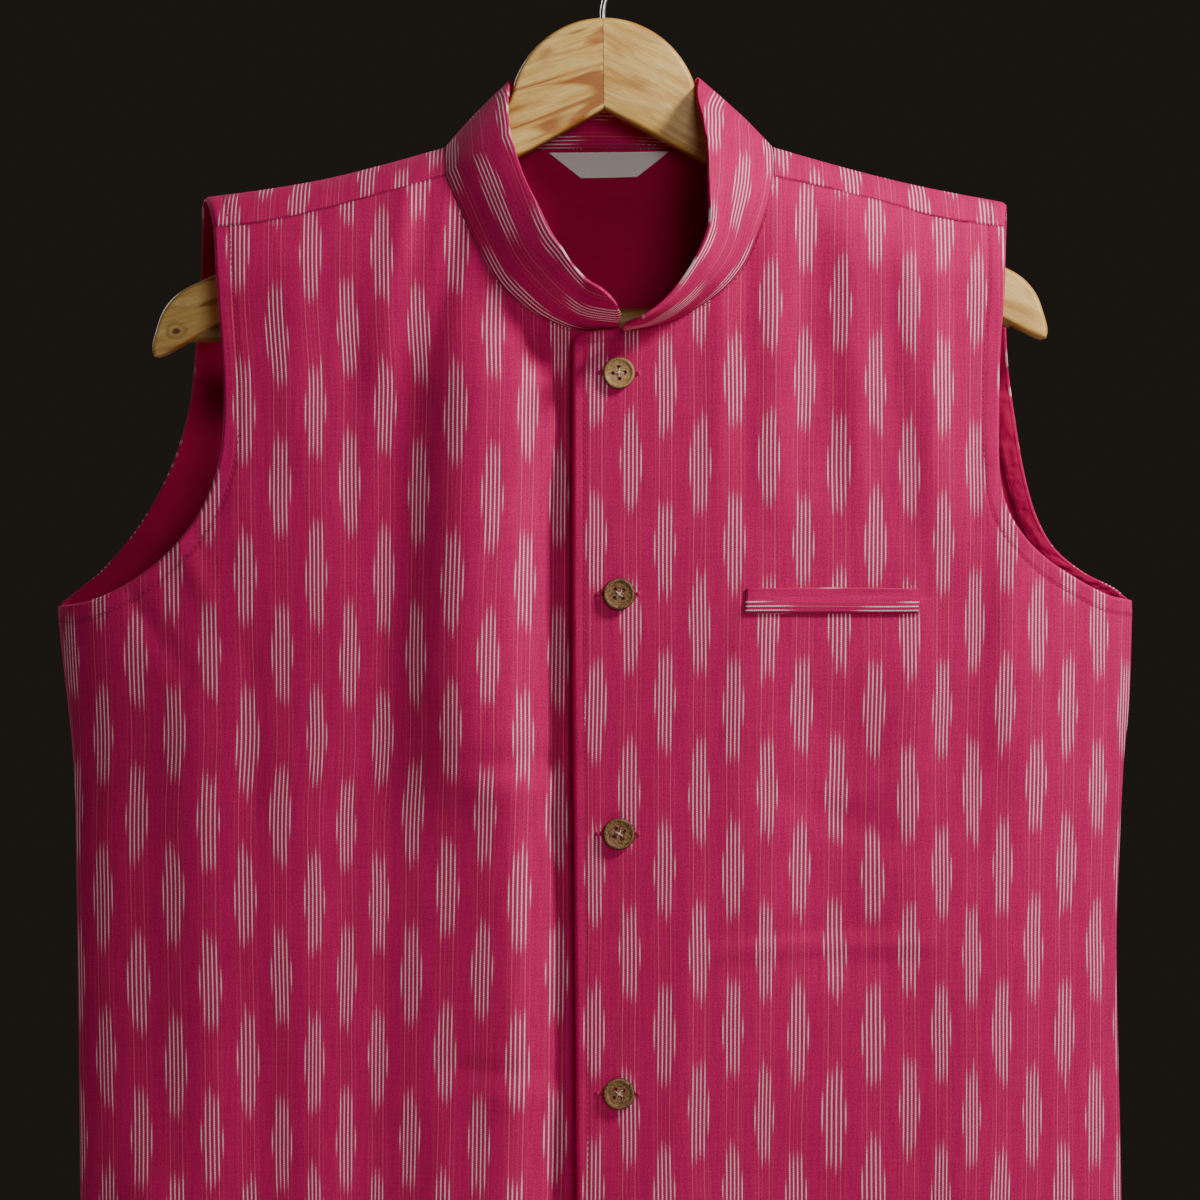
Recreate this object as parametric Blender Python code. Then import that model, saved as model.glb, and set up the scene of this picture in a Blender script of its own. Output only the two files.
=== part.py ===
"""A sleeveless nehru jacket of lined cotton, buttoned up and hung on a flat wooden hanger.

The origin is the top of the hook's inside, where a rod bears. +Z is up, the jacket faces -Y and
the wearer's left is at +X. Sizes in the tables and constants are millimetres.
"""

import math

import bmesh
import bpy
from mathutils import Vector
from mathutils.bvhtree import BVHTree

MM = 0.001

# ---- Driving sizes -------------------------------------------------------------------------

HEM_Z = -847.0
CLOTH = 1.4  # wall of a front or of the back
LINING = 1.0
COLLAR_WALL = 2.0
GAP = 0.3  # clear space between neighbouring pieces
SEAM_SET = 0.3  # each panel's edge stands this far back from its seam line
LINING_SIDE_SET = 0.85
LINING_SHORT = 1.2  # the lining stops this far short of the back's side edges
SIDE_SET = 0.55  # each panel's edge stands this far from the side seam's plane

ARCH_DROP = 53.0  # height over which the shoulder rounds out to full depth
ROUNDNESS = 2.3  # exponent of the body's flattened section
NECK_BUMP = 15.3  # rise of the imagined ridge line inside the neck
NECK_HALF = 80.0

FRONT_FOOT_X = -11.0  # front edge of the wearer's left front, on top, at the hem
UNDER_FOOT_X = 28.0  # front edge of the wearer's right front, hidden beneath
UNDER_DIP = 4.4  # how far the under front lies behind the upper one
UNDER_DIP_START = -44.0
UNDER_DIP_END = -14.0

CHEST_FOOT_Z = -382.0  # height on the front edge of the row that meets the underarm
CHEST_SHARE = 0.50  # share of the armhole below the level of the placket's top
NECK_SHARE = 0.57  # share of the armhole below the level of the neckline's foot

BUTTON_X = 8.0
BUTTON_Z = (-239.5, -350.0, -470.0, -600.5, -731.0)
BUTTON_R = 8.0
BUTTON_T = 2.8
BUTTON_RIM = 1.3
BUTTON_HOLE_R = 0.95
BUTTON_HOLE_OFF = 2.1

COLLAR_SWELL = 1.6  # outward bow of the band between its edges
COLLAR_END_R = 15.0  # rounding of the collar's front corners
COLLAR_STEPS = 3
COLLAR_SHARES = (0.0, 0.02, 0.05, 0.1, 0.16, 0.24, 0.33, 0.44, 0.55, 0.66, 0.77, 0.88)

WELT_X = (71.0, 158.5)
WELT_Z = (-359.8, -347.3)
WELT_T = 1.4

LABEL_TOP_HALF = 30.9
LABEL_FOOT_HALF = 14.4
LABEL_TOP_Z = -123.2
LABEL_HEIGHT = 12.6
LABEL_X = 3.1
LABEL_T = 1.0

WOOD_HALF = 7.5
WOOD_BEVEL = 3.5
WOOD_TILT = 0.0115  # radians, the wearer's right arm lower
HUMP_R = 50.0
HUMP_HALF = 48.6
HUMP_TOP_Z = -57.0
APEX_Z = -103.6
ARM_REACH = {"left": 231.0, "right": 224.2}
TIP_DROP = {"left": -222.0, "right": -218.0}

BAR_R = 6.6
BAR_Z = -211.3
BAR_TILT = 0.0185
BAR_ENDS = (-213.0, 207.0)

WIRE_R = 1.5
HOOK_R = 19.5  # centre line of the bow
HOOK_FOOT_Z = -72.0

# ---- Shape tables --------------------------------------------------------------------------

# Sides in the tables are as seen from the front; the pieces are named by the wearer's side.
WEARERS = {"left": "right", "right": "left"}

# Shoulder ridge, from the neck out to the shoulder tip.
RIDGE = {  # x, z
    "left": ((-79.4, -123.0), (-105.0, -130.3), (-139.0, -138.9), (-170.0, -144.4), (-203.5, -148.8)),
    "right": ((85.6, -123.0), (105.0, -128.6), (133.0, -136.3), (165.0, -143.8), (206.0, -151.6)),
}
# Forward shoulder seam, from the neck out to the tip.
FORWARD_SEAM = {  # x, z
    "left": ((-78.4, -139.4), (-112.0, -148.6), (-145.0, -157.4), (-175.0, -163.4), (-196.2, -165.2)),
    "right": ((85.0, -140.2), (112.0, -145.8), (140.0, -152.4), (170.0, -160.6), (202.6, -165.0)),
}
# Neckline from the centre front up to the forward seam.
NECKLINE = {  # x, z
    "left": (
        (8.0, -216.2),
        (-10.6, -217.4),
        (-28.7, -211.8),
        (-41.0, -204.2),
        (-51.5, -194.5),
        (-61.4, -178.0),
        (-70.4, -159.0),
        (-78.4, -139.4),
    ),
    "right": (
        (10.0, -217.2),
        (25.0, -215.2),
        (42.0, -209.2),
        (58.9, -198.0),
        (70.0, -185.0),
        (77.0, -169.4),
        (82.4, -153.4),
        (85.0, -140.2),
    ),
}
# Top edge of each front from its front edge to the centre front.
PLACKET_TOP = {  # x, z
    "left": ((28.0, -223.0), (18.0, -222.2), (9.4, -221.0)),
    "right": ((-14.5, -222.6), (-11.6, -220.2), (-1.0, -218.6)),
}
# How the columns of each front share its width, closer where it bends most.
COLUMN_SPREAD = {  # share of the columns, share of the width
    "left": ((0.0, 0.0), (0.273, 0.18), (0.545, 0.36), (0.727, 0.66), (0.864, 0.865), (0.955, 0.972), (1.0, 1.0)),
    "right": ((0.0, 0.0), (0.5, 0.55), (0.8125, 0.86), (0.9375, 0.972), (1.0, 1.0)),
}
# Armhole of each front, from the side seam up to the forward seam.
FRONT_ARMHOLE = {  # x, z
    "left": (
        (-277.0, -356.5),
        (-262.0, -354.6),
        (-243.0, -347.0),
        (-224.9, -334.9),
        (-209.8, -319.8),
        (-197.7, -300.2),
        (-191.4, -277.5),
        (-189.9, -252.0),
        (-191.4, -223.0),
        (-193.6, -193.0),
        (-196.2, -165.2),
    ),
    "right": (
        (269.0, -353.5),
        (256.0, -351.0),
        (241.0, -343.6),
        (226.9, -335.0),
        (213.6, -323.4),
        (203.6, -308.6),
        (199.4, -290.0),
        (198.7, -262.0),
        (199.4, -228.0),
        (201.6, -197.0),
        (202.6, -165.0),
    ),
}
# Armhole of the back, from the side seam up to just behind the ridge.
BACK_ARMHOLE = {  # x, z
    "left": (
        (-277.0, -356.5),
        (-271.0, -350.4),
        (-256.5, -338.0),
        (-240.5, -319.0),
        (-228.2, -299.0),
        (-218.9, -278.0),
        (-212.0, -252.0),
        (-208.8, -222.0),
        (-206.4, -190.0),
        (-205.0, -161.0),
    ),
    "right": (
        (269.0, -353.5),
        (262.0, -347.4),
        (246.2, -339.0),
        (231.6, -326.4),
        (222.6, -310.0),
        (216.4, -288.0),
        (211.8, -261.0),
        (208.0, -232.0),
        (206.6, -198.0),
        (206.4, -163.0),
    ),
}
# Side seams, from the underarm down to the hem.
SIDE_SEAM = {  # z, x
    "left": ((-356.5, -277.0), (-374.0, -275.4), (-435.0, -269.0), (-496.0, -267.4), (-660.0, -265.4), (-847.0, -264.6)),
    "right": ((-353.5, 269.0), (-404.0, 267.4), (-435.0, 264.6), (-480.0, 262.4), (-531.0, 260.9), (-660.0, 263.4), (-847.0, 264.2)),
}
# Greatest depth of the front and of the back from the side seams' plane.
DEPTH = {  # z, depth
    "front": ((-120.0, 44.0), (-300.0, 45.0), (-400.0, 43.0), (-520.0, 39.0), (-660.0, 36.0), (-847.0, 34.0)),
    "back": ((-120.0, 30.0), (-220.0, 32.0), (-330.0, 33.0), (-450.0, 31.0), (-650.0, 28.0), (-847.0, 27.0)),
}
# Large soft folds: a crest (height over 0) or a trough runs from its head to its foot.
FRONT_FOLDS = (  # head x, head z, foot x, foot z, half width, height
    (-58.0, -215.0, -63.0, -450.0, 25.0, 9.0),
    (-50.0, -440.0, -44.0, -870.0, 19.0, 6.0),
    (-93.0, -150.0, -104.0, -430.0, 17.0, -3.0),
    (-101.0, -138.0, -109.0, -250.0, 9.0, 2.0),
    (-112.0, -440.0, -116.0, -800.0, 30.0, -3.0),
    (-140.0, -300.0, -150.0, -720.0, 24.0, 3.0),
    (-206.0, -385.0, -196.0, -690.0, 20.0, 3.0),
    (-168.0, -560.0, -176.0, -870.0, 22.0, -3.0),
    (-232.0, -640.0, -226.0, -870.0, 20.0, 3.5),
    (104.0, -150.0, 112.0, -300.0, 11.0, -2.5),
    (150.0, -168.0, 176.0, -330.0, 14.0, 2.5),
    (206.0, -305.0, 200.0, -430.0, 12.0, 3.0),
    (122.0, -405.0, 116.0, -535.0, 24.0, -3.5),
    (68.0, -330.0, 62.0, -620.0, 30.0, 2.5),
    (186.0, -500.0, 180.0, -870.0, 26.0, 3.5),
    (98.0, -620.0, 92.0, -870.0, 26.0, -3.0),
)
BACK_FOLDS = (  # head x, head z, foot x, foot z, half width, height
    (-60.0, -170.0, -92.0, -470.0, 26.0, 4.0),
    (66.0, -175.0, 96.0, -520.0, 28.0, 4.5),
    (4.0, -260.0, 10.0, -700.0, 30.0, -3.5),
    (-160.0, -300.0, -148.0, -760.0, 28.0, 3.5),
    (166.0, -340.0, 158.0, -800.0, 26.0, 3.0),
    (-214.0, -400.0, -206.0, -650.0, 18.0, -3.0),
    (216.0, -420.0, 210.0, -700.0, 18.0, -3.0),
    (-70.0, -600.0, -76.0, -870.0, 26.0, 3.0),
    (74.0, -640.0, 80.0, -870.0, 24.0, -3.0),
)
# From each place on the neckline to the collar's top edge. Stations: 0 centre front,
# 1 forward seam, 2 just behind the ridge, 3 centre back.
COLLAR_LEAN = {  # station, dx, dy, dz
    "left": (
        (0.00, 0.5, -30.0, 12.3),
        (0.12, 3.6, -29.8, 20.6),
        (0.24, 11.8, -26.6, 22.6),
        (0.33, 17.4, -22.6, 23.4),
        (0.45, 23.2, -18.2, 25.0),
        (0.61, 27.2, -15.8, 24.4),
        (0.80, 28.9, -12.4, 22.0),
        (1.00, 31.9, -12.2, 19.2),
        (1.20, 31.0, -10.5, 21.2),
        (1.40, 31.3, -8.0, 24.9),
        (1.56, 31.8, -6.0, 28.2),
        (1.72, 31.6, -4.0, 31.2),
        (1.84, 30.4, -1.0, 34.0),
        (2.00, 29.0, 3.0, 37.0),
        (3.00, -2.0, 6.0, 36.5),
    ),
    "right": (
        (0.00, 0.0, -31.0, 1.0),
        (0.12, -1.7, -33.0, 3.5),
        (0.30, -7.2, -32.0, 10.0),
        (0.53, -14.3, -27.0, 19.0),
        (0.78, -26.2, -20.0, 19.4),
        (1.00, -33.3, -13.0, 17.8),
        (1.20, -35.3, -10.0, 20.7),
        (1.40, -37.5, -7.0, 24.3),
        (1.56, -38.1, -5.5, 29.7),
        (1.72, -36.6, -4.0, 33.7),
        (1.84, -35.6, -0.4, 37.2),
        (2.00, -34.0, 4.0, 38.0),
        (3.00, -2.0, 6.0, 36.5),
    ),
}
# How far the collar's lower edge stands off the neckline.
COLLAR_SET = (  # station, distance
    (0.0, 1.3),
    (0.45, 1.0),
    (0.85, 0.55),
    (1.25, 0.5),
    (1.5, 1.2),
    (2.0, 1.3),
    (2.6, 0.65),
    (3.0, 0.6),
)
# Where the neckline crosses the shoulder, from behind the ridge to the forward seam.
NECK_CROSSING = {  # share, x
    "left": ((0.0, -75.4), (0.2, -78.0), (0.35, -79.4), (1.0, -78.4)),
    "right": ((0.0, 81.4), (0.2, 84.0), (0.35, 85.6), (1.0, 85.0)),
}
# Rounded end of a hanger arm, from its top line round to its underside.
ARM_NOSE = (  # in from the tip, up from the tip
    (34.0, 37.0),
    (21.0, 31.6),
    (14.0, 27.6),
    (9.0, 23.0),
    (5.0, 17.0),
    (2.2, 9.0),
    (0.0, 0.0),
    (1.2, -4.7),
    (6.0, -3.8),
    (20.0, 3.6),
)
# Hollow curve between the hanger's hump and its arm.
ARM_HOLLOW = (  # x, z
    (46.3, -93.0),
    (48.6, -99.0),
    (53.8, -106.5),
    (64.0, -116.2),
)
# Top of each arm where the jacket's shoulders bear on it.
ARM_SEAT = {  # x, z
    "left": ((76.0, -123.4), (85.0, -126.5), (97.0, -130.2)),
    "right": ((76.0, -125.0), (85.0, -128.6), (97.0, -132.2)),
}

# ---- Grid counts ---------------------------------------------------------------------------

FRONT_COLUMNS = {"left": 22, "right": 16}
BODY_ROWS = 10
CHEST_ROWS = 8
NECK_ROWS = 10
STRAP_COLUMNS = 7
BACK_NECK_COLUMNS = 12
ARMHOLE_ROWS = 12
RIDGE_ROWS = 6
BACK_COLUMNS = 2 * STRAP_COLUMNS + BACK_NECK_COLUMNS


# ---- Helpers -------------------------------------------------------------------------------


def clear_scene():
    for obj in list(bpy.data.objects):
        bpy.data.objects.remove(obj)


def lerp(a, b, share):
    return a + (b - a) * share


def smooth(share):
    share = min(max(share, 0.0), 1.0)
    return share * share * (3.0 - 2.0 * share)


def look_up(table, key):
    """The other columns of a table's rows, at a key between its rows, on a smooth curve."""
    rows = sorted(table)
    if key <= rows[0][0]:
        return rows[0][1:]
    if key >= rows[-1][0]:
        return rows[-1][1:]
    n = next(i for i in range(1, len(rows)) if key <= rows[i][0])
    first, last = rows[n - 1], rows[n]
    before, after = rows[max(n - 2, 0)], rows[min(n + 1, len(rows) - 1)]
    span = last[0] - first[0]
    t = (key - first[0]) / span
    values = []
    for column in range(1, len(first)):
        slope_in = (last[column] - before[column]) / max(last[0] - before[0], 1e-6) * span
        slope_out = (after[column] - first[column]) / max(after[0] - first[0], 1e-6) * span
        values.append(
            first[column] * (2 * t**3 - 3 * t**2 + 1)
            + slope_in * (t**3 - 2 * t**2 + t)
            + last[column] * (3 * t**2 - 2 * t**3)
            + slope_out * (t**3 - t**2)
        )
    return tuple(values)


def along(points, share):
    """The point at a share of the length of a smooth curve through the points."""
    marks = [0.0]
    for a, b in zip(points, points[1:]):
        marks.append(marks[-1] + math.dist(a, b))
    table = [(mark / marks[-1], *point) for mark, point in zip(marks, points)]
    return look_up(table, share)


def make_material(name, colour, roughness, metallic=0.0):
    material = bpy.data.materials.new(name)
    material.use_nodes = True
    shader = material.node_tree.nodes["Principled BSDF"]
    shader.inputs["Base Color"].default_value = (*colour, 1.0)
    shader.inputs["Roughness"].default_value = roughness
    shader.inputs["Metallic"].default_value = metallic
    material.diffuse_color = (*colour, 1.0)
    return material


def add_object(name, bm, material, smooth_shading=True):
    mesh = bpy.data.meshes.new(name)
    bm.to_mesh(mesh)
    bm.free()
    if smooth_shading:
        mesh.shade_smooth()
        mesh.set_sharp_from_angle(angle=math.radians(40))
    mesh.materials.append(material)
    obj = bpy.data.objects.new(name, mesh)
    bpy.context.scene.collection.objects.link(obj)
    return obj


def give_wall(obj, thickness):
    """A wall of this thickness, centred on the sheet."""
    wall = obj.modifiers.new("wall", "SOLIDIFY")
    wall.thickness = thickness * MM
    wall.offset = 0.0
    return wall


def grid_sheet(columns, rows, place, skip=None):
    """A grid whose point in column i and row j lies at place(i, j); skip(i, j) drops a face.
    Also gives the column and row of each face and point."""
    bm = bmesh.new()
    bmesh.ops.create_grid(bm, x_segments=columns, y_segments=rows, size=1.0)
    cell = {}
    for vert in bm.verts:
        cell[vert] = (round((vert.co.x + 1) / 2 * columns), round((vert.co.y + 1) / 2 * rows))
    faces = {}
    for face in bm.faces:
        faces[face] = tuple(min(cell[vert][axis] for vert in face.verts) for axis in (0, 1))
    if skip:
        faces = keep_faces(bm, faces, lambda i, j: not skip(i, j))
    for vert in bm.verts:
        vert.co = Vector(place(*cell[vert])) * MM
    bm.normal_update()
    points = {at: vert for vert, at in cell.items() if vert.is_valid}
    return bm, faces, points


def keep_faces(bm, faces, wanted):
    dropped = [face for face, cell in faces.items() if not wanted(*cell)]
    kept = {face: cell for face, cell in faces.items() if wanted(*cell)}
    bmesh.ops.delete(bm, geom=dropped, context="FACES")
    return kept


def move_inward(bm, distance):
    steps = {vert: vert.normal * distance * MM for vert in bm.verts}
    for vert, step in steps.items():
        vert.co -= step


# ---- The body's surface --------------------------------------------------------------------


def side_of(x):
    return "left" if x < 0 else "right"


def side_x(side, z):
    """Where the side seam lies at this height; above the underarm it stays at its top."""
    return look_up([(-height, x) for height, x in SIDE_SEAM[side]], -z)[0]


def ridge_z(x):
    rows = [(abs(px), pz) for px, pz in RIDGE[side_of(x)]]
    bump = NECK_BUMP * max(0.0, 1.0 - (x / NECK_HALF) ** 2)
    return look_up(rows, abs(x))[0] + bump


def full_depth(face, x, z):
    """Depth of the body's flattened section at this place, before the shoulder closes it."""
    left, right = side_x("left", z), side_x("right", z)
    centre, half = (left + right) / 2, (right - left) / 2
    out = min(abs(x - centre) / half, 1.0)
    depth = look_up([(-height, deep) for height, deep in DEPTH[face]], -z)[0]
    return depth * (1.0 - out**ROUNDNESS) ** (1.0 / ROUNDNESS)


def shoulder_arch(x, z):
    drop = min(max((ridge_z(x) - z) / ARCH_DROP, 0.0), 1.0)
    return math.sqrt(1.0 - (1.0 - drop) ** 2)


def fold_height(folds, x, z):
    height = 0.0
    for head_x, head_z, foot_x, foot_z, half_width, rise in folds:
        share = (head_z - z) / (head_z - foot_z)
        if -0.15 < share < 1.15:
            off = (x - lerp(head_x, foot_x, share)) / half_width
            ends = smooth((share + 0.15) / 0.3) * smooth((1.15 - share) / 0.3)
            height += rise * ends * math.exp(-off * off)
    return height


def front_y(x, z):
    """The front's middle surface, where both fronts would lie with no overlap."""
    edge = smooth((side_x("right", z) - abs(x)) / 40.0)
    rise = fold_height(FRONT_FOLDS, x, z) * smooth((ridge_z(x) - z) / 45.0) * edge
    return min(-full_depth("front", x, z) * shoulder_arch(x, z) - rise, -SIDE_SET)


def under_front_y(x, z):
    """The wearer's right front, which dives beneath the other one near the buttons."""
    dip = UNDER_DIP * smooth((x - UNDER_DIP_START) / (UNDER_DIP_END - UNDER_DIP_START))
    return front_y(x, z) + dip


def back_y(x, z):
    edge = smooth((side_x("right", z) - abs(x)) / 40.0)
    rise = fold_height(BACK_FOLDS, x, z) * smooth((ridge_z(x) - z) / 45.0) * edge
    return max(full_depth("back", x, z) * shoulder_arch(x, z) + rise, SIDE_SET)


def over_ridge(x, y):
    """The height of the cloth that wraps over the shoulder, at this depth."""
    face = "front" if y < 0 else "back"
    share = min(abs(y) / full_depth(face, x, ridge_z(x)), 1.0)
    return ridge_z(x) - ARCH_DROP * (1.0 - math.sqrt(1.0 - share * share))


# ---- Fronts --------------------------------------------------------------------------------


def front_rows(side, foot_x):
    """The two ends of each row of a front: on its front edge or neckline, and on its side."""
    under_z = FRONT_ARMHOLE[side][0][1]
    edge_x, top_z = PLACKET_TOP[side][0]
    rows = []
    for n in range(BODY_ROWS):
        share = n / BODY_ROWS
        z = lerp(HEM_Z, under_z, share)
        inner = (lerp(foot_x, edge_x, share), lerp(HEM_Z, CHEST_FOOT_Z, share))
        rows.append((inner, (side_x(side, z), z)))
    placket = PLACKET_TOP[side]
    inner_ends = [(edge_x, lerp(CHEST_FOOT_Z, top_z, n / CHEST_ROWS)) for n in range(CHEST_ROWS)]
    for n, inner in enumerate(inner_ends):
        rows.append((inner, along(FRONT_ARMHOLE[side], lerp(0.0, CHEST_SHARE, n / CHEST_ROWS))))
    for n, inner in enumerate(placket):
        rows.append((inner, along(FRONT_ARMHOLE[side], lerp(CHEST_SHARE, NECK_SHARE, n / len(placket)))))
    for n in range(NECK_ROWS + 1):
        share = n / NECK_ROWS
        outer = along(FRONT_ARMHOLE[side], lerp(NECK_SHARE, 1.0, share))
        rows.append((along(NECKLINE[side], share), outer))
    return rows


def front_point(rows, side, surface, share, row):
    inner, outer = rows[row]
    spread = look_up(COLUMN_SPREAD[side], share)[0]
    x = lerp(inner[0], outer[0], spread)
    z = lerp(inner[1], outer[1], spread)
    if row == len(rows) - 1:
        z = look_up([(abs(px), pz) for px, pz in FORWARD_SEAM[side]], abs(x))[0] - SEAM_SET
    return (x, surface(x, z), z)


def build_front(name, side, foot_x, surface, material):
    rows = front_rows(side, foot_x)
    columns = FRONT_COLUMNS[side]

    def place(i, j):
        share = i / columns
        return front_point(rows, side, surface, 1.0 - share if side == "left" else share, j)

    bm, _, _ = grid_sheet(columns, len(rows) - 1, place)
    give_wall(add_object(name, bm, material), CLOTH)


# ---- Back, lining and armhole facings ------------------------------------------------------


def back_spread(i):
    share = 2.0 * i / BACK_COLUMNS - 1.0
    return 0.5 + 0.25 * (share + math.sin(share * math.pi / 2))


def strap_share(side, i):
    """Share of the way from the armhole to the neck for a column of a shoulder strap."""
    step = i if side == "right" else BACK_COLUMNS - i
    first = 0.11
    return 0.0 if step == 0 else lerp(first, 1.0, (step - 1) / (STRAP_COLUMNS - 1))


def behind_ridge(x):
    """Depth at which the strap's rows begin, just behind the ridge."""
    return lerp(12.0, 14.0, (abs(x) - 80.0) / 120.0)


def crest_row(i):
    """The row that runs along both straps behind the ridge, and along the back neckline."""
    if STRAP_COLUMNS <= i <= BACK_COLUMNS - STRAP_COLUMNS:
        share = (i - STRAP_COLUMNS) / BACK_NECK_COLUMNS
        right_x, left_x = NECK_CROSSING["right"][0][1], NECK_CROSSING["left"][0][1]
        x = lerp(right_x, left_x, share)
        end_z = lerp(over_ridge(right_x, behind_ridge(right_x)), over_ridge(left_x, behind_ridge(left_x)), share)
        z = lerp(-121.0, end_z, abs(2 * share - 1) ** 2.5)
        return x, z
    side = "right" if i < STRAP_COLUMNS else "left"
    x = lerp(BACK_ARMHOLE[side][-1][0], NECK_CROSSING[side][0][1], strap_share(side, i))
    return x, over_ridge(x, behind_ridge(x))


def back_point(i, j):
    """Column i runs from the wearer's left to the right; row j from the hem to the seam."""
    low = BODY_ROWS
    crest = BODY_ROWS + ARMHOLE_ROWS
    spread = back_spread(i)
    if j <= low:
        share = j / low
        right_z = lerp(HEM_Z, BACK_ARMHOLE["right"][0][1], share)
        left_z = lerp(HEM_Z, BACK_ARMHOLE["left"][0][1], share)
        z = lerp(right_z, left_z, spread)
        x = lerp(side_x("right", right_z), side_x("left", left_z), spread)
        return (x, back_y(x, z), z)
    if j <= crest:
        share = (j - low) / ARMHOLE_ROWS
        right = along(BACK_ARMHOLE["right"], share)
        left = along(BACK_ARMHOLE["left"], share)
        rise = {}
        for side, point in (("right", right), ("left", left)):
            foot, head = BACK_ARMHOLE[side][0][1], BACK_ARMHOLE[side][-1][1]
            rise[side] = (point[1] - foot) / (head - foot)
        climb = lerp(rise["right"], rise["left"], spread)
        crest_x, crest_z = crest_row(i)
        crest_right, crest_left = crest_row(0)[0], crest_row(BACK_COLUMNS)[0]
        crest_spread = (crest_x - crest_right) / (crest_left - crest_right)
        x = lerp(right[0], left[0], lerp(spread, crest_spread, smooth(climb)))
        under_z = lerp(BACK_ARMHOLE["right"][0][1], BACK_ARMHOLE["left"][0][1], spread)
        z = lerp(under_z, crest_z, climb)
        return (x, back_y(x, z), z)
    return strap_point(i, (j - crest) / RIDGE_ROWS)


def strap_point(i, share):
    """On a shoulder strap: share 0 just behind the ridge, 1 at the forward seam."""
    side = "right" if i <= STRAP_COLUMNS else "left"
    neck_x = look_up(NECK_CROSSING[side], share)[0]
    arm_x = lerp(BACK_ARMHOLE[side][-1][0], FORWARD_SEAM[side][-1][0], share**1.5)
    x = lerp(arm_x, neck_x, strap_share(side, i))
    seam_z = look_up([(abs(px), pz) for px, pz in FORWARD_SEAM[side]], abs(x))[0] + SEAM_SET
    y = lerp(behind_ridge(x), front_y(x, seam_z), share)
    return (x, y, over_ridge(x, y))


def over_neck(i, j):
    """The faces of the back's grid that would close the neck."""
    above = j >= BODY_ROWS + ARMHOLE_ROWS
    return above and STRAP_COLUMNS <= i < BACK_COLUMNS - STRAP_COLUMNS


def back_layer(depth):
    """The back's sheet, moved this far inside it."""
    rows = BODY_ROWS + ARMHOLE_ROWS + RIDGE_ROWS
    bm, faces, points = grid_sheet(BACK_COLUMNS, rows, back_point, over_neck)
    if depth:
        move_inward(bm, depth)
        for column, neighbour in ((0, 1), (BACK_COLUMNS, BACK_COLUMNS - 1)):
            for row in range(BODY_ROWS + ARMHOLE_ROWS):
                draw_back(points[column, row], points[neighbour, row])
    return bm, faces


def draw_back(vert, neighbour):
    """Slides the end of a row along it, to stand clear of the side seam."""
    step = neighbour.co - vert.co
    short = LINING_SIDE_SET * MM - vert.co.y
    share = short / step.y if short > 0 else 0.0
    vert.co += step * max(share, LINING_SHORT * MM / step.length)


LINING_DEPTH = CLOTH / 2 + GAP + LINING / 2
FACING_DEPTH = LINING_DEPTH + LINING + GAP


def add_layer(name, bm, faces, material, thickness):
    """Splits the faces along diagonals that mirror about the middle, so that layers nest."""
    halves = {"ALTERNATE": [], "FIXED": []}
    for face, (i, _) in faces.items():
        halves["ALTERNATE" if i < BACK_COLUMNS / 2 else "FIXED"].append(face)
    for method, half in halves.items():
        bmesh.ops.triangulate(bm, faces=half, quad_method=method)
    give_wall(add_object(name, bm, material), thickness)


def build_back(cloth, lining):
    add_layer("back", *back_layer(0.0), cloth, CLOTH)
    add_layer("back_lining", *back_layer(LINING_DEPTH), lining, LINING)


def build_armhole_facing(name, column, material):
    """A narrow strip along the inside of the back's armhole."""
    bm, faces = back_layer(FACING_DEPTH)
    last = BODY_ROWS + ARMHOLE_ROWS
    faces = keep_faces(bm, faces, lambda i, j: i == column and BODY_ROWS < j < last)
    add_layer(name, bm, faces, material, LINING)


# ---- Collar --------------------------------------------------------------------------------


def neck_stations():
    """Places along the neckline from the wearer's right front round the back to the left."""
    stations = []
    for side, surface in (("left", under_front_y), ("right", front_y)):
        half = []
        for share in COLLAR_SHARES:
            x, z = along(NECKLINE[side], share)
            half.append((side, share, Vector((x, surface(x, z), z))))
        column = STRAP_COLUMNS if side == "right" else BACK_COLUMNS - STRAP_COLUMNS
        for n in range(RIDGE_ROWS):
            share = n / RIDGE_ROWS
            half.append((side, 1 + share, Vector(strap_point(column, 1 - share))))
        middle = BACK_NECK_COLUMNS // 2
        for n in range(middle + 1):
            i = column + n if side == "right" else column - n
            half.append((side, 2 + n / middle, Vector(back_point(i, BODY_ROWS + ARMHOLE_ROWS))))
        stations.append(half)
    wearers_right, wearers_left = stations
    return wearers_right + wearers_left[-2::-1]


def build_collar(material):
    stations = neck_stations()
    bases = [place for _, _, place in stations]
    run = [0.0]
    for a, b in zip(bases, bases[1:]):
        run.append(run[-1] + (b - a).length)
    centre = sum(bases, Vector()) / len(bases)

    def place(i, j):
        side, station, base = stations[i]
        lean = Vector(look_up(COLLAR_LEAN[side], station))
        near_end = min(run[i], run[-1] - run[i])
        inset = max(COLLAR_END_R - near_end, 0.0)
        cut = COLLAR_END_R - math.sqrt(COLLAR_END_R**2 - inset**2)
        up = lean.normalized()
        height = lean.length - cut
        tangent = (bases[min(i + 1, len(bases) - 1)] - bases[max(i - 1, 0)]).normalized()
        outward = tangent.cross(up).normalized()
        if outward.dot(base - centre) < 0:
            outward = -outward
        share = j / COLLAR_STEPS
        swell = COLLAR_SWELL * math.sin(share * math.pi)
        base_set = look_up(COLLAR_SET, station)[0]
        rise = lerp(base_set, height, share)
        return base + up * rise + outward * swell

    bm, _, _ = grid_sheet(len(stations) - 1, COLLAR_STEPS, place)
    give_wall(add_object("collar", bm, material), COLLAR_WALL)


# ---- Pieces that lie on a panel ------------------------------------------------------------


def surface_tree(name):
    """The finished faces of a piece, to lay other pieces on."""
    bpy.context.view_layer.update()
    obj = bpy.data.objects[name]
    return BVHTree.FromObject(obj, bpy.context.evaluated_depsgraph_get())


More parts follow.
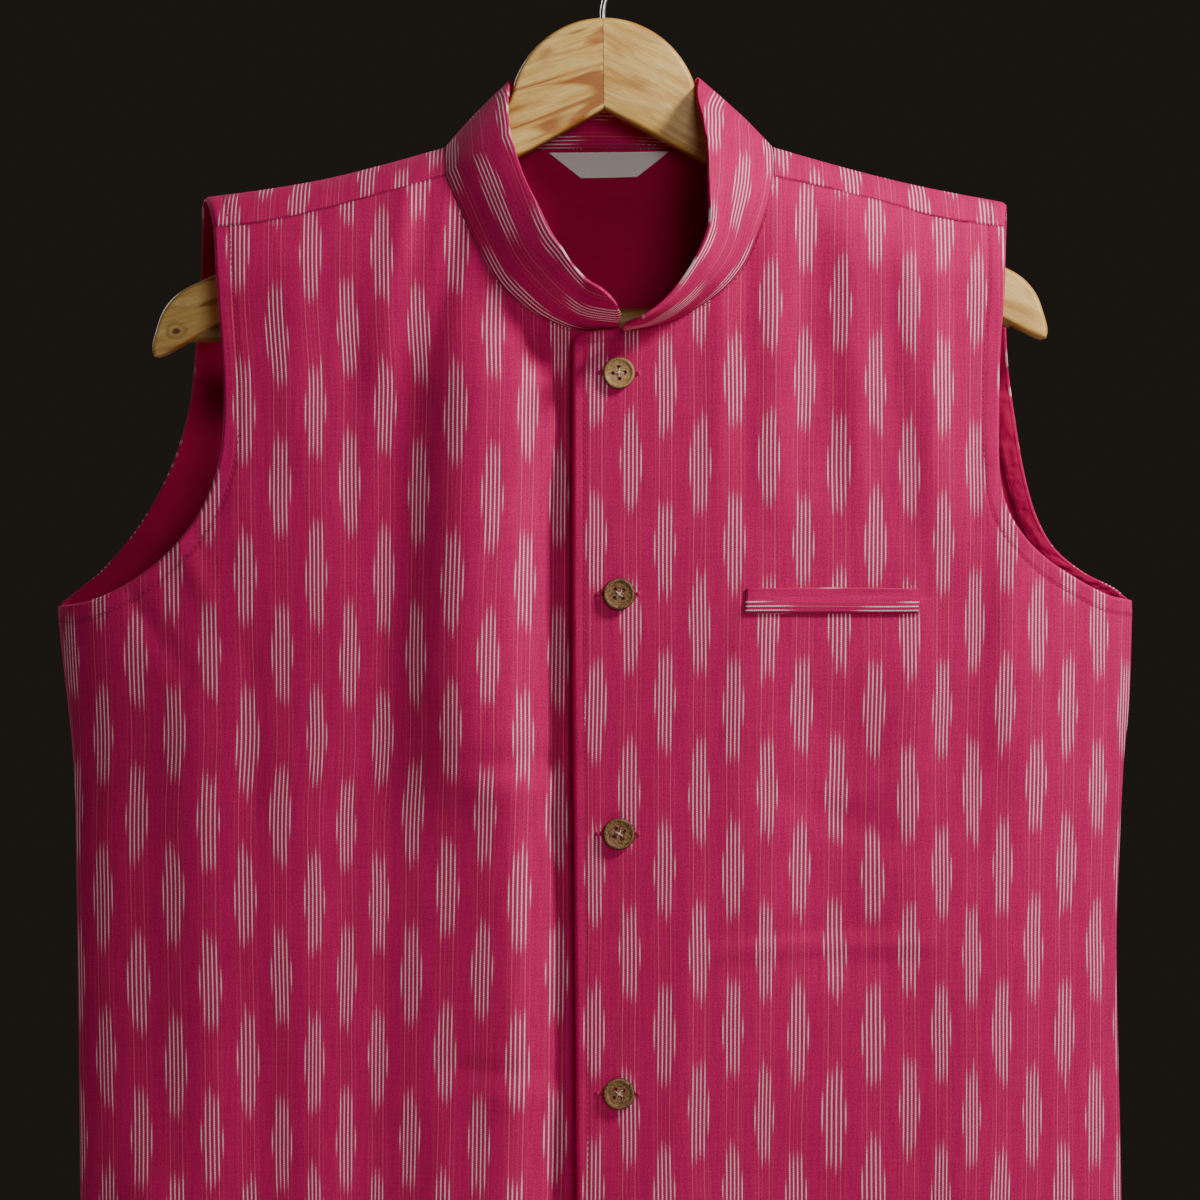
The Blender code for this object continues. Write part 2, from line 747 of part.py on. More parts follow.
def lay_on(tree, x, z, looking):
    """The depth at which a line along Y first meets a piece, from the front (1) or back (-1)."""
    start = Vector((x, -200.0 * looking, z)) * MM
    hit = tree.ray_cast(start, Vector((0.0, looking, 0.0)))[0]
    return hit.y / MM


def build_welt(material):
    tree = surface_tree("front_left")
    columns, rows = 8, 2
    depth = GAP + 0.1 + WELT_T / 2

    def place(i, j):
        x = lerp(*WELT_X, i / columns)
        z = lerp(*WELT_Z, j / rows)
        return (x, lay_on(tree, x, z, 1) - depth, z)

    bm, _, _ = grid_sheet(columns, rows, place)
    give_wall(add_object("pocket_welt", bm, material), WELT_T)


def build_label(material):
    """A blank tab, wider at its top, on the lining below the back of the collar."""
    tree = surface_tree("back_lining")
    columns, rows = 8, 2

    def place(i, j):
        half = lerp(LABEL_FOOT_HALF, LABEL_TOP_HALF, j / rows)
        x = LABEL_X + lerp(-half, half, i / columns)
        z = LABEL_TOP_Z - LABEL_HEIGHT * (1 - j / rows)
        start = Vector((x, 0.0, z)) * MM
        hit = tree.ray_cast(start, Vector((0.0, 1.0, 0.0)))[0]
        return (x, hit.y / MM - GAP - 0.1 - LABEL_T / 2, z)

    bm, _, _ = grid_sheet(columns, rows, place)
    give_wall(add_object("neck_label", bm, material), LABEL_T)


def build_buttons(material):
    tree = surface_tree("front_left")
    profile = (  # radius, height from the underside
        (0.0, 0.0),
        (BUTTON_R - 1.2, 0.0),
        (BUTTON_R, 1.3),
        (BUTTON_R - 0.4, BUTTON_T),
        (BUTTON_R - BUTTON_RIM, BUTTON_T),
        (BUTTON_R - BUTTON_RIM - 0.8, BUTTON_T - 0.6),
        (0.0, BUTTON_T - 0.6),
    )
    bm = bmesh.new()
    verts = [bm.verts.new((radius * MM, -height * MM, 0.0)) for radius, height in profile]
    edges = [bm.edges.new(pair) for pair in zip(verts, verts[1:])]
    bmesh.ops.spin(
        bm, geom=verts + edges, cent=(0, 0, 0), axis=(0, 1, 0), angle=math.tau, steps=20, use_merge=True
    )
    bmesh.ops.remove_doubles(bm, verts=bm.verts, dist=0.00001)
    bmesh.ops.recalc_face_normals(bm, faces=bm.faces)
    pattern = add_object("button_1", bm, material)
    cutter_mesh = bmesh.new()
    for dx in (-BUTTON_HOLE_OFF, BUTTON_HOLE_OFF):
        for dz in (-BUTTON_HOLE_OFF, BUTTON_HOLE_OFF):
            made = bmesh.ops.create_cone(
                cutter_mesh, cap_ends=True, segments=8, radius1=BUTTON_HOLE_R * MM,
                radius2=BUTTON_HOLE_R * MM, depth=10 * MM,
            )
            turn = Vector((0, 0, 1)).rotation_difference(Vector((0, 1, 0))).to_matrix()
            bmesh.ops.rotate(cutter_mesh, cent=(0, 0, 0), matrix=turn, verts=made["verts"])
            bmesh.ops.translate(cutter_mesh, vec=Vector((dx, 0, dz)) * MM, verts=made["verts"])
    for n, z in enumerate(BUTTON_Z):
        button = pattern if n == 0 else bpy.data.objects.new(f"button_{n + 1}", pattern.data)
        if n:
            bpy.context.scene.collection.objects.link(button)
        reach = [lay_on(tree, BUTTON_X + dx, z + dz, 1) for dx in (-6, 0, 6) for dz in (-6, 0, 6)]
        button.location = Vector((BUTTON_X, min(reach) - GAP, z)) * MM
        cutter = add_object(f"button_cutter_{n + 1}", cutter_mesh.copy(), material)
        cutter.location = button.location
        hide(cutter)
        cut(button, cutter)
    cutter_mesh.free()


def hide(cutter):
    cutter.hide_render = True
    cutter.display_type = "WIRE"


def cut(obj, cutter):
    modifier = obj.modifiers.new("cut", "BOOLEAN")
    modifier.operation = "DIFFERENCE"
    modifier.object = cutter


# ---- Hanger --------------------------------------------------------------------------------


def add_cylinder(name, radius, start, end, material, segments=20):
    bm = bmesh.new()
    length = (Vector(end) - Vector(start)).length
    bmesh.ops.create_cone(
        bm, cap_ends=True, segments=segments, radius1=radius * MM, radius2=radius * MM, depth=length * MM
    )
    obj = add_object(name, bm, material)
    direction = (Vector(end) - Vector(start)).normalized()
    obj.rotation_mode = "QUATERNION"
    obj.rotation_quaternion = Vector((0, 0, 1)).rotation_difference(direction)
    obj.location = (Vector(start) + Vector(end)) / 2 * MM
    return obj


def arm_outline(side):
    """Half of the hanger's outline, from the middle of its hump round to its underside."""
    reach, tip_z = ARM_REACH[side], TIP_DROP[side]
    centre_z = HUMP_TOP_Z - HUMP_R
    points = []
    for n in range(9):
        angle = math.radians(lerp(90, 21, n / 8))
        points.append((HUMP_HALF * math.cos(angle), centre_z + HUMP_R * math.sin(angle)))
    points[0] = (GAP / 2, HUMP_TOP_Z)
    points += ARM_HOLLOW
    points += ARM_SEAT[side]
    points += [(reach - inward, tip_z + upward) for inward, upward in ARM_NOSE]
    points.append((GAP / 2, APEX_Z))
    return points


def build_hanger_half(side, material, cutters):
    sign = -1 if side == "left" else 1
    bm = bmesh.new()
    verts = [bm.verts.new((sign * x * MM, -WOOD_HALF * MM, z * MM)) for x, z in arm_outline(side)]
    face = bm.faces.new(verts)
    grown = bmesh.ops.extrude_face_region(bm, geom=[face])
    moved = [item for item in grown["geom"] if isinstance(item, bmesh.types.BMVert)]
    bmesh.ops.translate(bm, vec=(0, 2 * WOOD_HALF * MM, 0), verts=moved)
    bmesh.ops.recalc_face_normals(bm, faces=bm.faces)
    rims = []
    for edge in bm.edges:
        a, b = edge.verts
        flat = abs(a.co.y - b.co.y) < 1e-6
        joint = abs(a.co.x) < 1e-3 and abs(b.co.x) < 1e-3
        if flat and not joint:
            rims.append(edge)
    bmesh.ops.bevel(
        bm, geom=rims, offset=WOOD_BEVEL * MM, offset_type="OFFSET", segments=2, profile=0.5,
        affect="EDGES", clamp_overlap=True, material=-1,
    )
    pivot = Vector((0, 0, HUMP_TOP_Z)) * MM
    for vert in bm.verts:
        offset = vert.co - pivot
        vert.co = pivot + Vector((offset.x - offset.z * WOOD_TILT, offset.y, offset.z + offset.x * WOOD_TILT))
    obj = add_object(f"hanger_{WEARERS[side]}", bm, material)
    for cutter in cutters:
        cut(obj, cutter)


def bar_end(x, extra=0.0):
    x += math.copysign(extra, x)
    return (x, 0.0, BAR_Z + x * BAR_TILT)


def build_hanger(wood, steel):
    bore = add_cylinder(
        "bar_bore", BAR_R + GAP, bar_end(BAR_ENDS[0], GAP), bar_end(BAR_ENDS[1], GAP), wood
    )
    foot_bore = add_cylinder(
        "hook_bore", WIRE_R + GAP, (0, 0, HOOK_FOOT_Z - GAP), (0, 0, HUMP_TOP_Z + 20), steel, 12
    )
    for cutter in (bore, foot_bore):
        hide(cutter)
    for side in ("left", "right"):
        build_hanger_half(side, wood, (bore, foot_bore))
    add_cylinder("hanger_bar", BAR_R, bar_end(BAR_ENDS[0]), bar_end(BAR_ENDS[1]), wood)


def hook_points():
    """Up the shank, out round the bow and over the rod, to a short downturned end."""
    top = WIRE_R
    centre_z = top - HOOK_R
    points = [(0.0, z) for z in (HOOK_FOOT_Z, -60.0, -52.0)]
    points += [(1.2, -46.5), (5.0, -41.5)]
    for n in range(23):
        angle = math.radians(lerp(-58, 205, n / 22))
        points.append((HOOK_R * math.cos(angle), centre_z + HOOK_R * math.sin(angle)))
    return points


def build_hook(material):
    curve = bpy.data.curves.new("hook", "CURVE")
    curve.dimensions = "3D"
    curve.bevel_depth = WIRE_R * MM
    curve.bevel_resolution = 2
    curve.use_fill_caps = True
    spline = curve.splines.new("POLY")
    points = hook_points()
    spline.points.add(len(points) - 1)
    for point, (x, z) in zip(spline.points, points):
        point.co = (x * MM, 0.0, z * MM, 1.0)
    spline.use_smooth = True
    curve.materials.append(material)
    obj = bpy.data.objects.new("hook", curve)
    bpy.context.scene.collection.objects.link(obj)


# ---- The whole ------------------------------------------------------------------------------


def main():
    clear_scene()
    ikat = make_material("ikat_cotton", (0.44, 0.03, 0.13), 0.85)
    plain = make_material("plain_lining", (0.30, 0.01, 0.06), 0.8)
    label = make_material("label_tape", (0.86, 0.84, 0.78), 0.8)
    shell = make_material("coconut_shell", (0.36, 0.22, 0.10), 0.55)
    wood = make_material("pale_wood", (0.68, 0.46, 0.20), 0.5)
    steel = make_material("hook_steel", (0.72, 0.72, 0.72), 0.3, 1.0)
    build_front("front_left", "right", FRONT_FOOT_X, front_y, ikat)
    build_front("front_right", "left", UNDER_FOOT_X, under_front_y, ikat)
    build_back(ikat, plain)
    build_armhole_facing("armhole_facing_left", 0, plain)
    build_armhole_facing("armhole_facing_right", BACK_COLUMNS - 1, plain)
    build_collar(ikat)
    build_welt(ikat)
    build_label(label)
    build_buttons(shell)
    build_hanger(wood, steel)
    build_hook(steel)


main()
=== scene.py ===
import bisect
import math

import bmesh
import bpy
from mathutils import Matrix, Vector, noise
from mathutils.bvhtree import BVHTree
from mathutils.kdtree import KDTree


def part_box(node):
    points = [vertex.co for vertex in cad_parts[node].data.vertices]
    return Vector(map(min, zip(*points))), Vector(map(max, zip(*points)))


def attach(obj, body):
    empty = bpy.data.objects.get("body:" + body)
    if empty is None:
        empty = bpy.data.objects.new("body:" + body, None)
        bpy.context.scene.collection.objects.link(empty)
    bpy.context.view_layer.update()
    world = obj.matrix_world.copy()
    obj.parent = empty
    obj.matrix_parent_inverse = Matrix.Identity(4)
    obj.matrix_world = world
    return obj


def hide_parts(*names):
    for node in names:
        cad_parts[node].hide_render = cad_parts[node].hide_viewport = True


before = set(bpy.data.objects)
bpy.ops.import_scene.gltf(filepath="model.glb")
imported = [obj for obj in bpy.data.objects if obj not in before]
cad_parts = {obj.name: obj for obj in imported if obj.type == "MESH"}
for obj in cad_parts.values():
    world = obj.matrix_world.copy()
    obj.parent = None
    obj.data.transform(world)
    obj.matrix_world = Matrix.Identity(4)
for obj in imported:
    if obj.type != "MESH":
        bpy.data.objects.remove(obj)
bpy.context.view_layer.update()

# A sleeveless nehru jacket of lined cotton ikat, buttoned up on a flat wooden hanger. Sizes in
# the tables are millimetres. Sides in them are as seen from the front, and the pieces are named
# by the wearer's side.

MM = 0.001

# ---- Driving sizes ---------------------------------------------------------------------------
# As the solids have them, but for closer seams, sharper wood, and a slightly thinner collar,
# lining and label.

HEM_Z = -847.0
CLOTH = 1.4  # wall of a front or of the back
LINING = 0.9
LINING_CLEAR = 0.1  # between the lining and the back
SEAM_SET = 0.05  # each panel's edge stands this far back from its seam line
SIDE_SET = 0.08  # and this far from the side seam's plane

ARCH_DROP = 53.0  # height over which the shoulder rounds out to full depth
ROUNDNESS = 2.3  # exponent of the body's flattened section
NECK_BUMP = 15.3  # rise of the imagined ridge line inside the neck
NECK_HALF = 80.0
BACK_NECK_Z = -121.0  # foot of the back neckline

FRONT_FOOT_X = -11.0  # front edge of the wearer's left front, on top, at the hem
UNDER_FOOT_X = 28.0  # front edge of the wearer's right front, hidden beneath
UNDER_DIP = 4.4  # how far the under front lies behind the upper one
UNDER_DIP_START = -44.0
UNDER_DIP_END = -14.0

CHEST_FOOT_Z = -382.0  # height on the front edge of the row that meets the underarm
CHEST_SHARE = 0.50  # share of the armhole below the level of the placket's top
NECK_SHARE = 0.57  # share of the armhole below the level of the neckline's foot

BUTTON_X = 8.0
BUTTON_Z = (-239.5, -350.0, -470.0, -600.5, -731.0)
BUTTON_HOLE_R = 0.95
BUTTON_HOLE_OFF = 2.1

COLLAR_SWELL = 1.6  # outward bow of the band between its edges
COLLAR_END_R = 15.0  # rounding of the collar's front corners

WELT_X = (71.0, 158.5)
WELT_Z = (-359.8, -347.3)
WELT_T = 1.4

LABEL_TOP_HALF = 30.9
LABEL_FOOT_HALF = 14.4
LABEL_TOP_Z = -123.2
LABEL_HEIGHT = 12.6
LABEL_X = 3.1
LABEL_T = 0.6

WOOD_HALF = 7.5
WOOD_BEVEL = 3.0
WOOD_TILT = 0.0115  # radians, the wearer's right arm lower
HUMP_R = 50.0
HUMP_HALF = 48.6
HUMP_TOP_Z = -57.0
APEX_Z = -103.6
ARM_REACH = {"left": 231.0, "right": 224.2}
TIP_DROP = {"left": -222.0, "right": -218.0}

BAR_R = 6.6
BAR_Z = -211.3
BAR_TILT = 0.0185
BAR_ENDS = (-213.0, 207.0)
BAR_CLEAR = 0.1  # room round it in the arms' holes

WIRE_R = 1.5
HOOK_R = 19.5  # centre line of the bow
HOOK_FOOT_Z = -72.0
JOINT_GAP = 0.12  # each half of the hanger stands this far from the middle
FACING_DEPTH = 2.35  # the facings' middle below the back's
FACING_REACH = (0.05, 0.92)  # their edges, in columns from the armhole
COLLAR_CLOTH = 1.9
GRAIN_Z = -403.0  # level from which the threads are counted

# Rows of stitches: distance from the edge they follow.
FRONT_STITCH = 5.0
ARM_STITCH = 8.0
HEM_STITCH = 22.0
NECK_STITCH = 1.6
COLLAR_STITCH = 1.8
STITCH_INWARD = 14  # cells over which the way in from the edge is read
STITCH_PITCH = 3.0
STITCH_SIZE = (1.2, 0.26, 0.22)  # half its length, width and thickness
FAR = 30.0  # farther than the finishes look from a row of stitches or a seam
HEM_ROLL = 1.5  # round of the folded hem and front edge
ARM_ROLL = 1.3
BUTTONHOLE_X = (-2.6, 17.6)
BUTTONHOLE_R = 0.55  # of its worked edge
BUTTONHOLE_BAR = (1.15, 0.75, 1.35)  # half sizes of the bar at each end
THREAD_R = 0.21
BUTTON_TURNS = (0.72, 0.1, 0.3, 0.16, 0.5)
BUTTON_PROFILE = (  # radius, height above its back
    (0.0, 0.0), (6.6, 0.0), (7.3, 0.35), (7.8, 0.9), (8.0, 1.5), (7.9, 2.1), (7.6, 2.55), (7.2, 2.76),
    (6.9, 2.8), (6.6, 2.74), (6.3, 2.55), (5.9, 2.32), (5.3, 2.2), (3.0, 2.14), (0.0, 2.12),
)

POCKET_BAG_X = (67.0, 163.0)
POCKET_BAG_Z = (-529.0, -352.0)
POCKET_BAG_STEP = 1.0

EDGE_EASE = 40.0  # folds die out over this width towards the side seams
RIDGE_EASE = 45.0  # and over this height towards the shoulders

# Grid counts.
FRONT_SHEET_COLUMNS = 120
FRONT_BODY_ROWS = 132
FRONT_CHEST_ROWS = 44
FRONT_CORNER_ROWS = 12
FRONT_NECK_ROWS = 56
SEAM_EASE_ROWS = 10
GRAIN_X = (-284.0, 280.0)  # reach of the measuring of the threads
GRAIN_FOOT = HEM_Z - 4

# Rounded top corner of each front, from its front edge to the neckline.
PLACKET_CORNER = {  # x, z
    "left": ((28.0, -227.0), (27.4, -224.8), (25.6, -223.4), (18.0, -222.2), (9.4, -221.0), (8.0, -216.2)),
    "right": (
        (-14.5, -226.2), (-14.2, -223.6), (-13.0, -221.4), (-10.6, -220.0), (-7.0, -219.3),
        (10.0, -217.2),
    ),
}

# The ikat: paint colours, then the sizes of its repeat.
MAGENTA = (202, 26, 100)
THREAD_WHITE = (255, 247, 242)
THREAD_PINK = (246, 208, 208)
LINE_PINK = (232, 112, 118)
LINING_RED = (188, 18, 78)
SEWING_DARK = (146, 16, 64)
SEWING_LIGHT = (212, 42, 106)
IKAT_PITCH = 17.4
IKAT_REPEAT = 81.5
THREAD_STEP = 2.03
BEAD_PITCH = 0.95
WARP_PITCH = 0.72
WEFT_PITCH = 0.66
LINING_PITCH = 0.42
TAPE_PITCH = 0.5
# Which column of motifs lies where across each front at GRAIN_Z, and how far up the first row is.
COLUMNS = {  # across the cloth, column
    "left": (
        (-294.0, -16.0), (-258.9, -14.0), (-219.9, -12.0), (-163.9, -9.0), (-95.9, -5.0),
        (-58.3, -3.0), (-5.5, 0.0), (30.5, 2.0),
    ),
    "right": (
        (-39.0, -2.0), (-3.8, 0.0), (65.5, 4.0), (99.5, 6.0), (136.5, 8.0), (170.9, 10.0),
        (202.7, 12.0), (253.6, 15.0), (304.8, 18.0),
    ),
}
FIRST_ROW = {"left": -18.5, "right": -4.0}
BACK_START = (3.0, 12.0)
COLLAR_ROWS = (  # run, along, height of the middle column
    (0.0, -3.0, 15.5), (104.0, 81.5, 21.3), (412.7, 407.5, 18.4), (511.0, 511.0, 17.5),
)
WELT_START = (70.0, -359.2)
# How far the threads of each front stray from the plumb line.
LEAN = {  # x, sideways per drop
    "left": (
        (-280.0, -0.020), (-200.0, -0.012), (-150.0, -0.003), (-90.0, 0.014), (-50.0, 0.020),
        (-15.0, 0.003),
    ),
    "right": ((-15.0, 0.005), (60.0, 0.001), (100.0, 0.010), (150.0, -0.001), (200.0, 0.010), (280.0, 0.008)),
}
# Small creases beside the large folds.
FRONT_CREASES = (  # x, z, turn, half length, half width, height
    (-82.0, -560.0, 1.57, 270.0, 40.0, 6.5),
    (-170.0, -500.0, 1.6, 200.0, 30.0, 2.5),
    (-82.0, -300.0, 1.5, 110.0, 26.0, 2.5),
    (30.0, -620.0, 1.57, 200.0, 26.0, 2.0),
    (212.0, -470.0, 1.5, 90.0, 16.0, 2.5),
    (-42.0, -433.0, 0.06, 23.0, 5.0, -1.7),
    (-40.0, -449.0, 0.0, 22.0, 8.0, 1.5),
    (-52.0, -589.0, -0.05, 25.0, 5.5, -1.6),
    (-38.0, -603.0, 0.04, 20.0, 8.0, 1.2),
    (-99.0, -158.0, 1.5, 22.0, 5.5, 1.2),
    (-76.0, -184.0, 1.36, 38.0, 6.5, -1.7),
    (-154.0, -236.0, 1.62, 52.0, 12.0, 1.4),
    (-126.0, -268.0, 1.55, 60.0, 7.0, -0.9),
    (-212.0, -326.0, 2.05, 30.0, 6.0, 1.2),
    (-226.0, -368.0, 2.2, 26.0, 5.0, -1.0),
    (-120.0, -520.0, 1.5, 58.0, 7.0, 1.0),
    (-176.0, -424.0, 1.6, 42.0, 6.0, -0.9),
    (-84.0, -690.0, 1.52, 66.0, 8.0, 1.2),
    (-150.0, -775.0, 1.62, 70.0, 9.0, -1.2),
    (-204.0, -800.0, 1.5, 50.0, 8.0, 1.2),
    (58.0, -232.0, 1.55, 62.0, 5.5, 1.2),
    (72.0, -246.0, 1.57, 58.0, 4.5, -0.8),
    (86.0, -240.0, 1.59, 64.0, 5.0, 1.0),
    (99.0, -252.0, 1.56, 60.0, 5.0, -1.0),
    (126.0, -236.0, 1.6, 72.0, 6.0, 1.3),
    (146.0, -222.0, 1.6, 46.0, 5.0, -0.9),
    (166.0, -246.0, 1.52, 58.0, 6.0, 1.2),
    (194.0, -293.0, 1.42, 18.0, 5.0, 1.5),
    (206.0, -339.0, 1.24, 27.0, 5.0, 1.6),
    (198.0, -356.0, 1.2, 28.0, 5.0, -1.1),
    (222.0, -377.0, 1.1, 27.0, 5.5, 1.5),
    (112.0, -527.5, 0.03, 50.0, 3.2, 1.3),
    (104.0, -519.0, 0.05, 40.0, 4.0, -0.8),
    (64.5, -448.0, 1.55, 66.0, 3.2, 0.7),
    (118.0, -462.0, -0.4, 36.0, 8.0, -1.2),
    (142.0, -446.0, 0.35, 26.0, 7.0, 1.0),
    (84.0, -488.0, 1.3, 22.0, 6.0, 0.9),
    (40.0, -566.0, 1.5, 60.0, 6.0, 0.9),
    (44.0, -742.0, 1.55, 84.0, 8.0, 1.2),
    (150.0, -786.0, 1.5, 58.0, 8.0, -1.2),
    (212.0, -752.0, 1.62, 66.0, 9.0, 1.3),
)
# Only in the under front, where it dives beneath the edge of the other one.
UNDER_CREASES = (  # x, z, turn, half length, half width, height
    (-16.0, -262.0, 1.57, 50.0, 13.0, -4.5),
    (-18.0, -392.0, 1.6, 84.0, 17.0, -8.5),
    (-15.0, -560.0, 1.55, 74.0, 15.0, -6.0),
    (-17.0, -706.0, 1.59, 70.0, 16.0, -7.5),
    (-45.0, -350.0, 1.56, 96.0, 9.0, 2.5),
    (-42.0, -540.0, 1.58, 70.0, 9.0, 2.0),
    (-28.0, -236.0, -1.09, 26.0, 6.0, -3.2),
)
BACK_CREASES = (  # x, z, turn, half length, half width, height
    (-70.0, -214.0, 1.75, 45.0, 8.0, 1.4),
    (78.0, -224.0, 1.4, 50.0, 8.0, 1.5),
    (-12.0, -266.0, 1.57, 58.0, 9.0, -1.1),
    (-188.0, -334.0, 2.1, 34.0, 7.0, 1.4),
    (196.0, -342.0, 1.05, 32.0, 7.0, 1.3),
    (-122.0, -424.0, 1.6, 68.0, 9.0, 1.1),
    (136.0, -470.0, 1.52, 76.0, 10.0, -1.3),
    (30.0, -560.0, 1.5, 88.0, 9.0, 1.2),
    (-62.0, -644.0, 1.62, 78.0, 10.0, -1.2),
    (190.0, -652.0, 1.6, 68.0, 9.0, 1.2),
    (-208.0, -624.0, 1.5, 58.0, 8.0, -1.1),
    (88.0, -764.0, 1.55, 58.0, 8.0, 1.3),
    (-142.0, -786.0, 1.6, 56.0, 9.0, 1.2),
)

# ---- Shape tables --------------------------------------------------------------------------

# Shoulder ridge, from the neck out to the shoulder tip.
RIDGE = {  # x, z
    "left": ((-79.4, -123.0), (-105.0, -130.3), (-139.0, -138.9), (-170.0, -144.4), (-203.5, -148.8)),
    "right": ((85.6, -123.0), (105.0, -128.6), (133.0, -136.3), (165.0, -143.8), (206.0, -151.6)),
}
# Forward shoulder seam, from the neck out to the tip.
FORWARD_SEAM = {  # x, z
    "left": ((-78.4, -139.4), (-112.0, -148.6), (-145.0, -157.4), (-175.0, -163.4), (-196.2, -165.2)),
    "right": ((85.0, -140.2), (112.0, -145.8), (140.0, -152.4), (170.0, -160.6), (202.6, -165.0)),
}
# Neckline from the centre front up to the forward seam.
NECKLINE = {  # x, z
    "left": (
        (8.0, -216.2), (-10.6, -217.4), (-28.7, -211.8), (-41.0, -204.2), (-51.5, -194.5),
        (-61.4, -178.0), (-70.4, -159.0), (-78.4, -139.4),
    ),
    "right": (
        (10.0, -217.2), (25.0, -215.2), (42.0, -209.2), (58.9, -198.0), (70.0, -185.0), (77.0, -169.4),
        (82.4, -153.4), (85.0, -140.2),
    ),
}
# Armhole of each front, from the side seam up to the forward seam.
FRONT_ARMHOLE = {  # x, z
    "left": (
        (-277.0, -356.5), (-262.0, -354.6), (-243.0, -347.0), (-224.9, -334.9), (-209.8, -319.8),
        (-197.7, -300.2), (-191.4, -277.5), (-189.9, -252.0), (-191.4, -223.0), (-193.6, -193.0),
        (-196.2, -165.2),
    ),
    "right": (
        (269.0, -353.5), (256.0, -351.0), (241.0, -343.6), (226.9, -335.0), (213.6, -323.4),
        (203.6, -308.6), (199.4, -290.0), (198.7, -262.0), (199.4, -228.0), (201.6, -197.0),
        (202.6, -165.0),
    ),
}
# Armhole of the back, from the side seam up to just behind the ridge.
BACK_ARMHOLE = {  # x, z
    "left": (
        (-277.0, -356.5), (-271.0, -350.4), (-256.5, -338.0), (-240.5, -319.0), (-228.2, -299.0),
        (-218.9, -278.0), (-212.0, -252.0), (-208.8, -222.0), (-206.4, -190.0), (-205.0, -161.0),
    ),
    "right": (
        (269.0, -353.5), (262.0, -347.4), (246.2, -339.0), (231.6, -326.4), (222.6, -310.0),
        (216.4, -288.0), (211.8, -261.0), (208.0, -232.0), (206.6, -198.0), (206.4, -163.0),
    ),
}
# Side seams, from the underarm down to the hem.
SIDE_SEAM = {  # z, x
    "left": (
        (-356.5, -277.0), (-374.0, -275.4), (-435.0, -269.0), (-496.0, -267.4), (-660.0, -265.4),
        (-847.0, -264.6),
    ),
    "right": (
        (-353.5, 269.0), (-404.0, 267.4), (-435.0, 264.6), (-480.0, 262.4), (-531.0, 260.9),
        (-660.0, 263.4), (-847.0, 264.2),
    ),
}
# Greatest depth of the front and of the back from the side seams' plane.
DEPTH = {  # z, depth
    "front": ((-120.0, 44.0), (-300.0, 45.0), (-400.0, 43.0), (-520.0, 39.0), (-660.0, 36.0), (-847.0, 34.0)),
    "back": ((-120.0, 30.0), (-220.0, 32.0), (-330.0, 33.0), (-450.0, 31.0), (-650.0, 28.0), (-847.0, 27.0)),
}
# Large soft folds: a crest (height over 0) or a trough runs from its head to its foot.
FRONT_FOLDS = (  # head x, head z, foot x, foot z, half width, height
    (-58.0, -215.0, -63.0, -450.0, 25.0, 9.0),
    (-50.0, -440.0, -44.0, -870.0, 19.0, 6.0),
    (-93.0, -150.0, -104.0, -430.0, 17.0, -3.0),
    (-101.0, -138.0, -109.0, -250.0, 9.0, 2.0),
    (-112.0, -440.0, -116.0, -800.0, 30.0, -3.0),
    (-140.0, -300.0, -150.0, -720.0, 24.0, 3.0),
    (-206.0, -385.0, -196.0, -690.0, 20.0, 3.0),
    (-168.0, -560.0, -176.0, -870.0, 22.0, -3.0),
    (-232.0, -640.0, -226.0, -870.0, 20.0, 3.5),
    (104.0, -150.0, 112.0, -300.0, 11.0, -2.5),
    (150.0, -168.0, 176.0, -330.0, 14.0, 2.5),
    (206.0, -305.0, 200.0, -430.0, 12.0, 3.0),
    (122.0, -405.0, 116.0, -535.0, 24.0, -3.5),
    (68.0, -330.0, 62.0, -620.0, 30.0, 2.5),
    (186.0, -500.0, 180.0, -870.0, 26.0, 3.5),
    (98.0, -620.0, 92.0, -870.0, 26.0, -3.0),
)
BACK_FOLDS = (  # head x, head z, foot x, foot z, half width, height
    (-60.0, -170.0, -92.0, -470.0, 26.0, 4.0),
    (66.0, -175.0, 96.0, -520.0, 28.0, 4.5),
    (4.0, -260.0, 10.0, -700.0, 30.0, -3.5),
    (-160.0, -300.0, -148.0, -760.0, 28.0, 3.5),
    (166.0, -340.0, 158.0, -800.0, 26.0, 3.0),
    (-214.0, -400.0, -206.0, -650.0, 18.0, -3.0),
    (216.0, -420.0, 210.0, -700.0, 18.0, -3.0),
    (-70.0, -600.0, -76.0, -870.0, 26.0, 3.0),
    (74.0, -640.0, 80.0, -870.0, 24.0, -3.0),
)
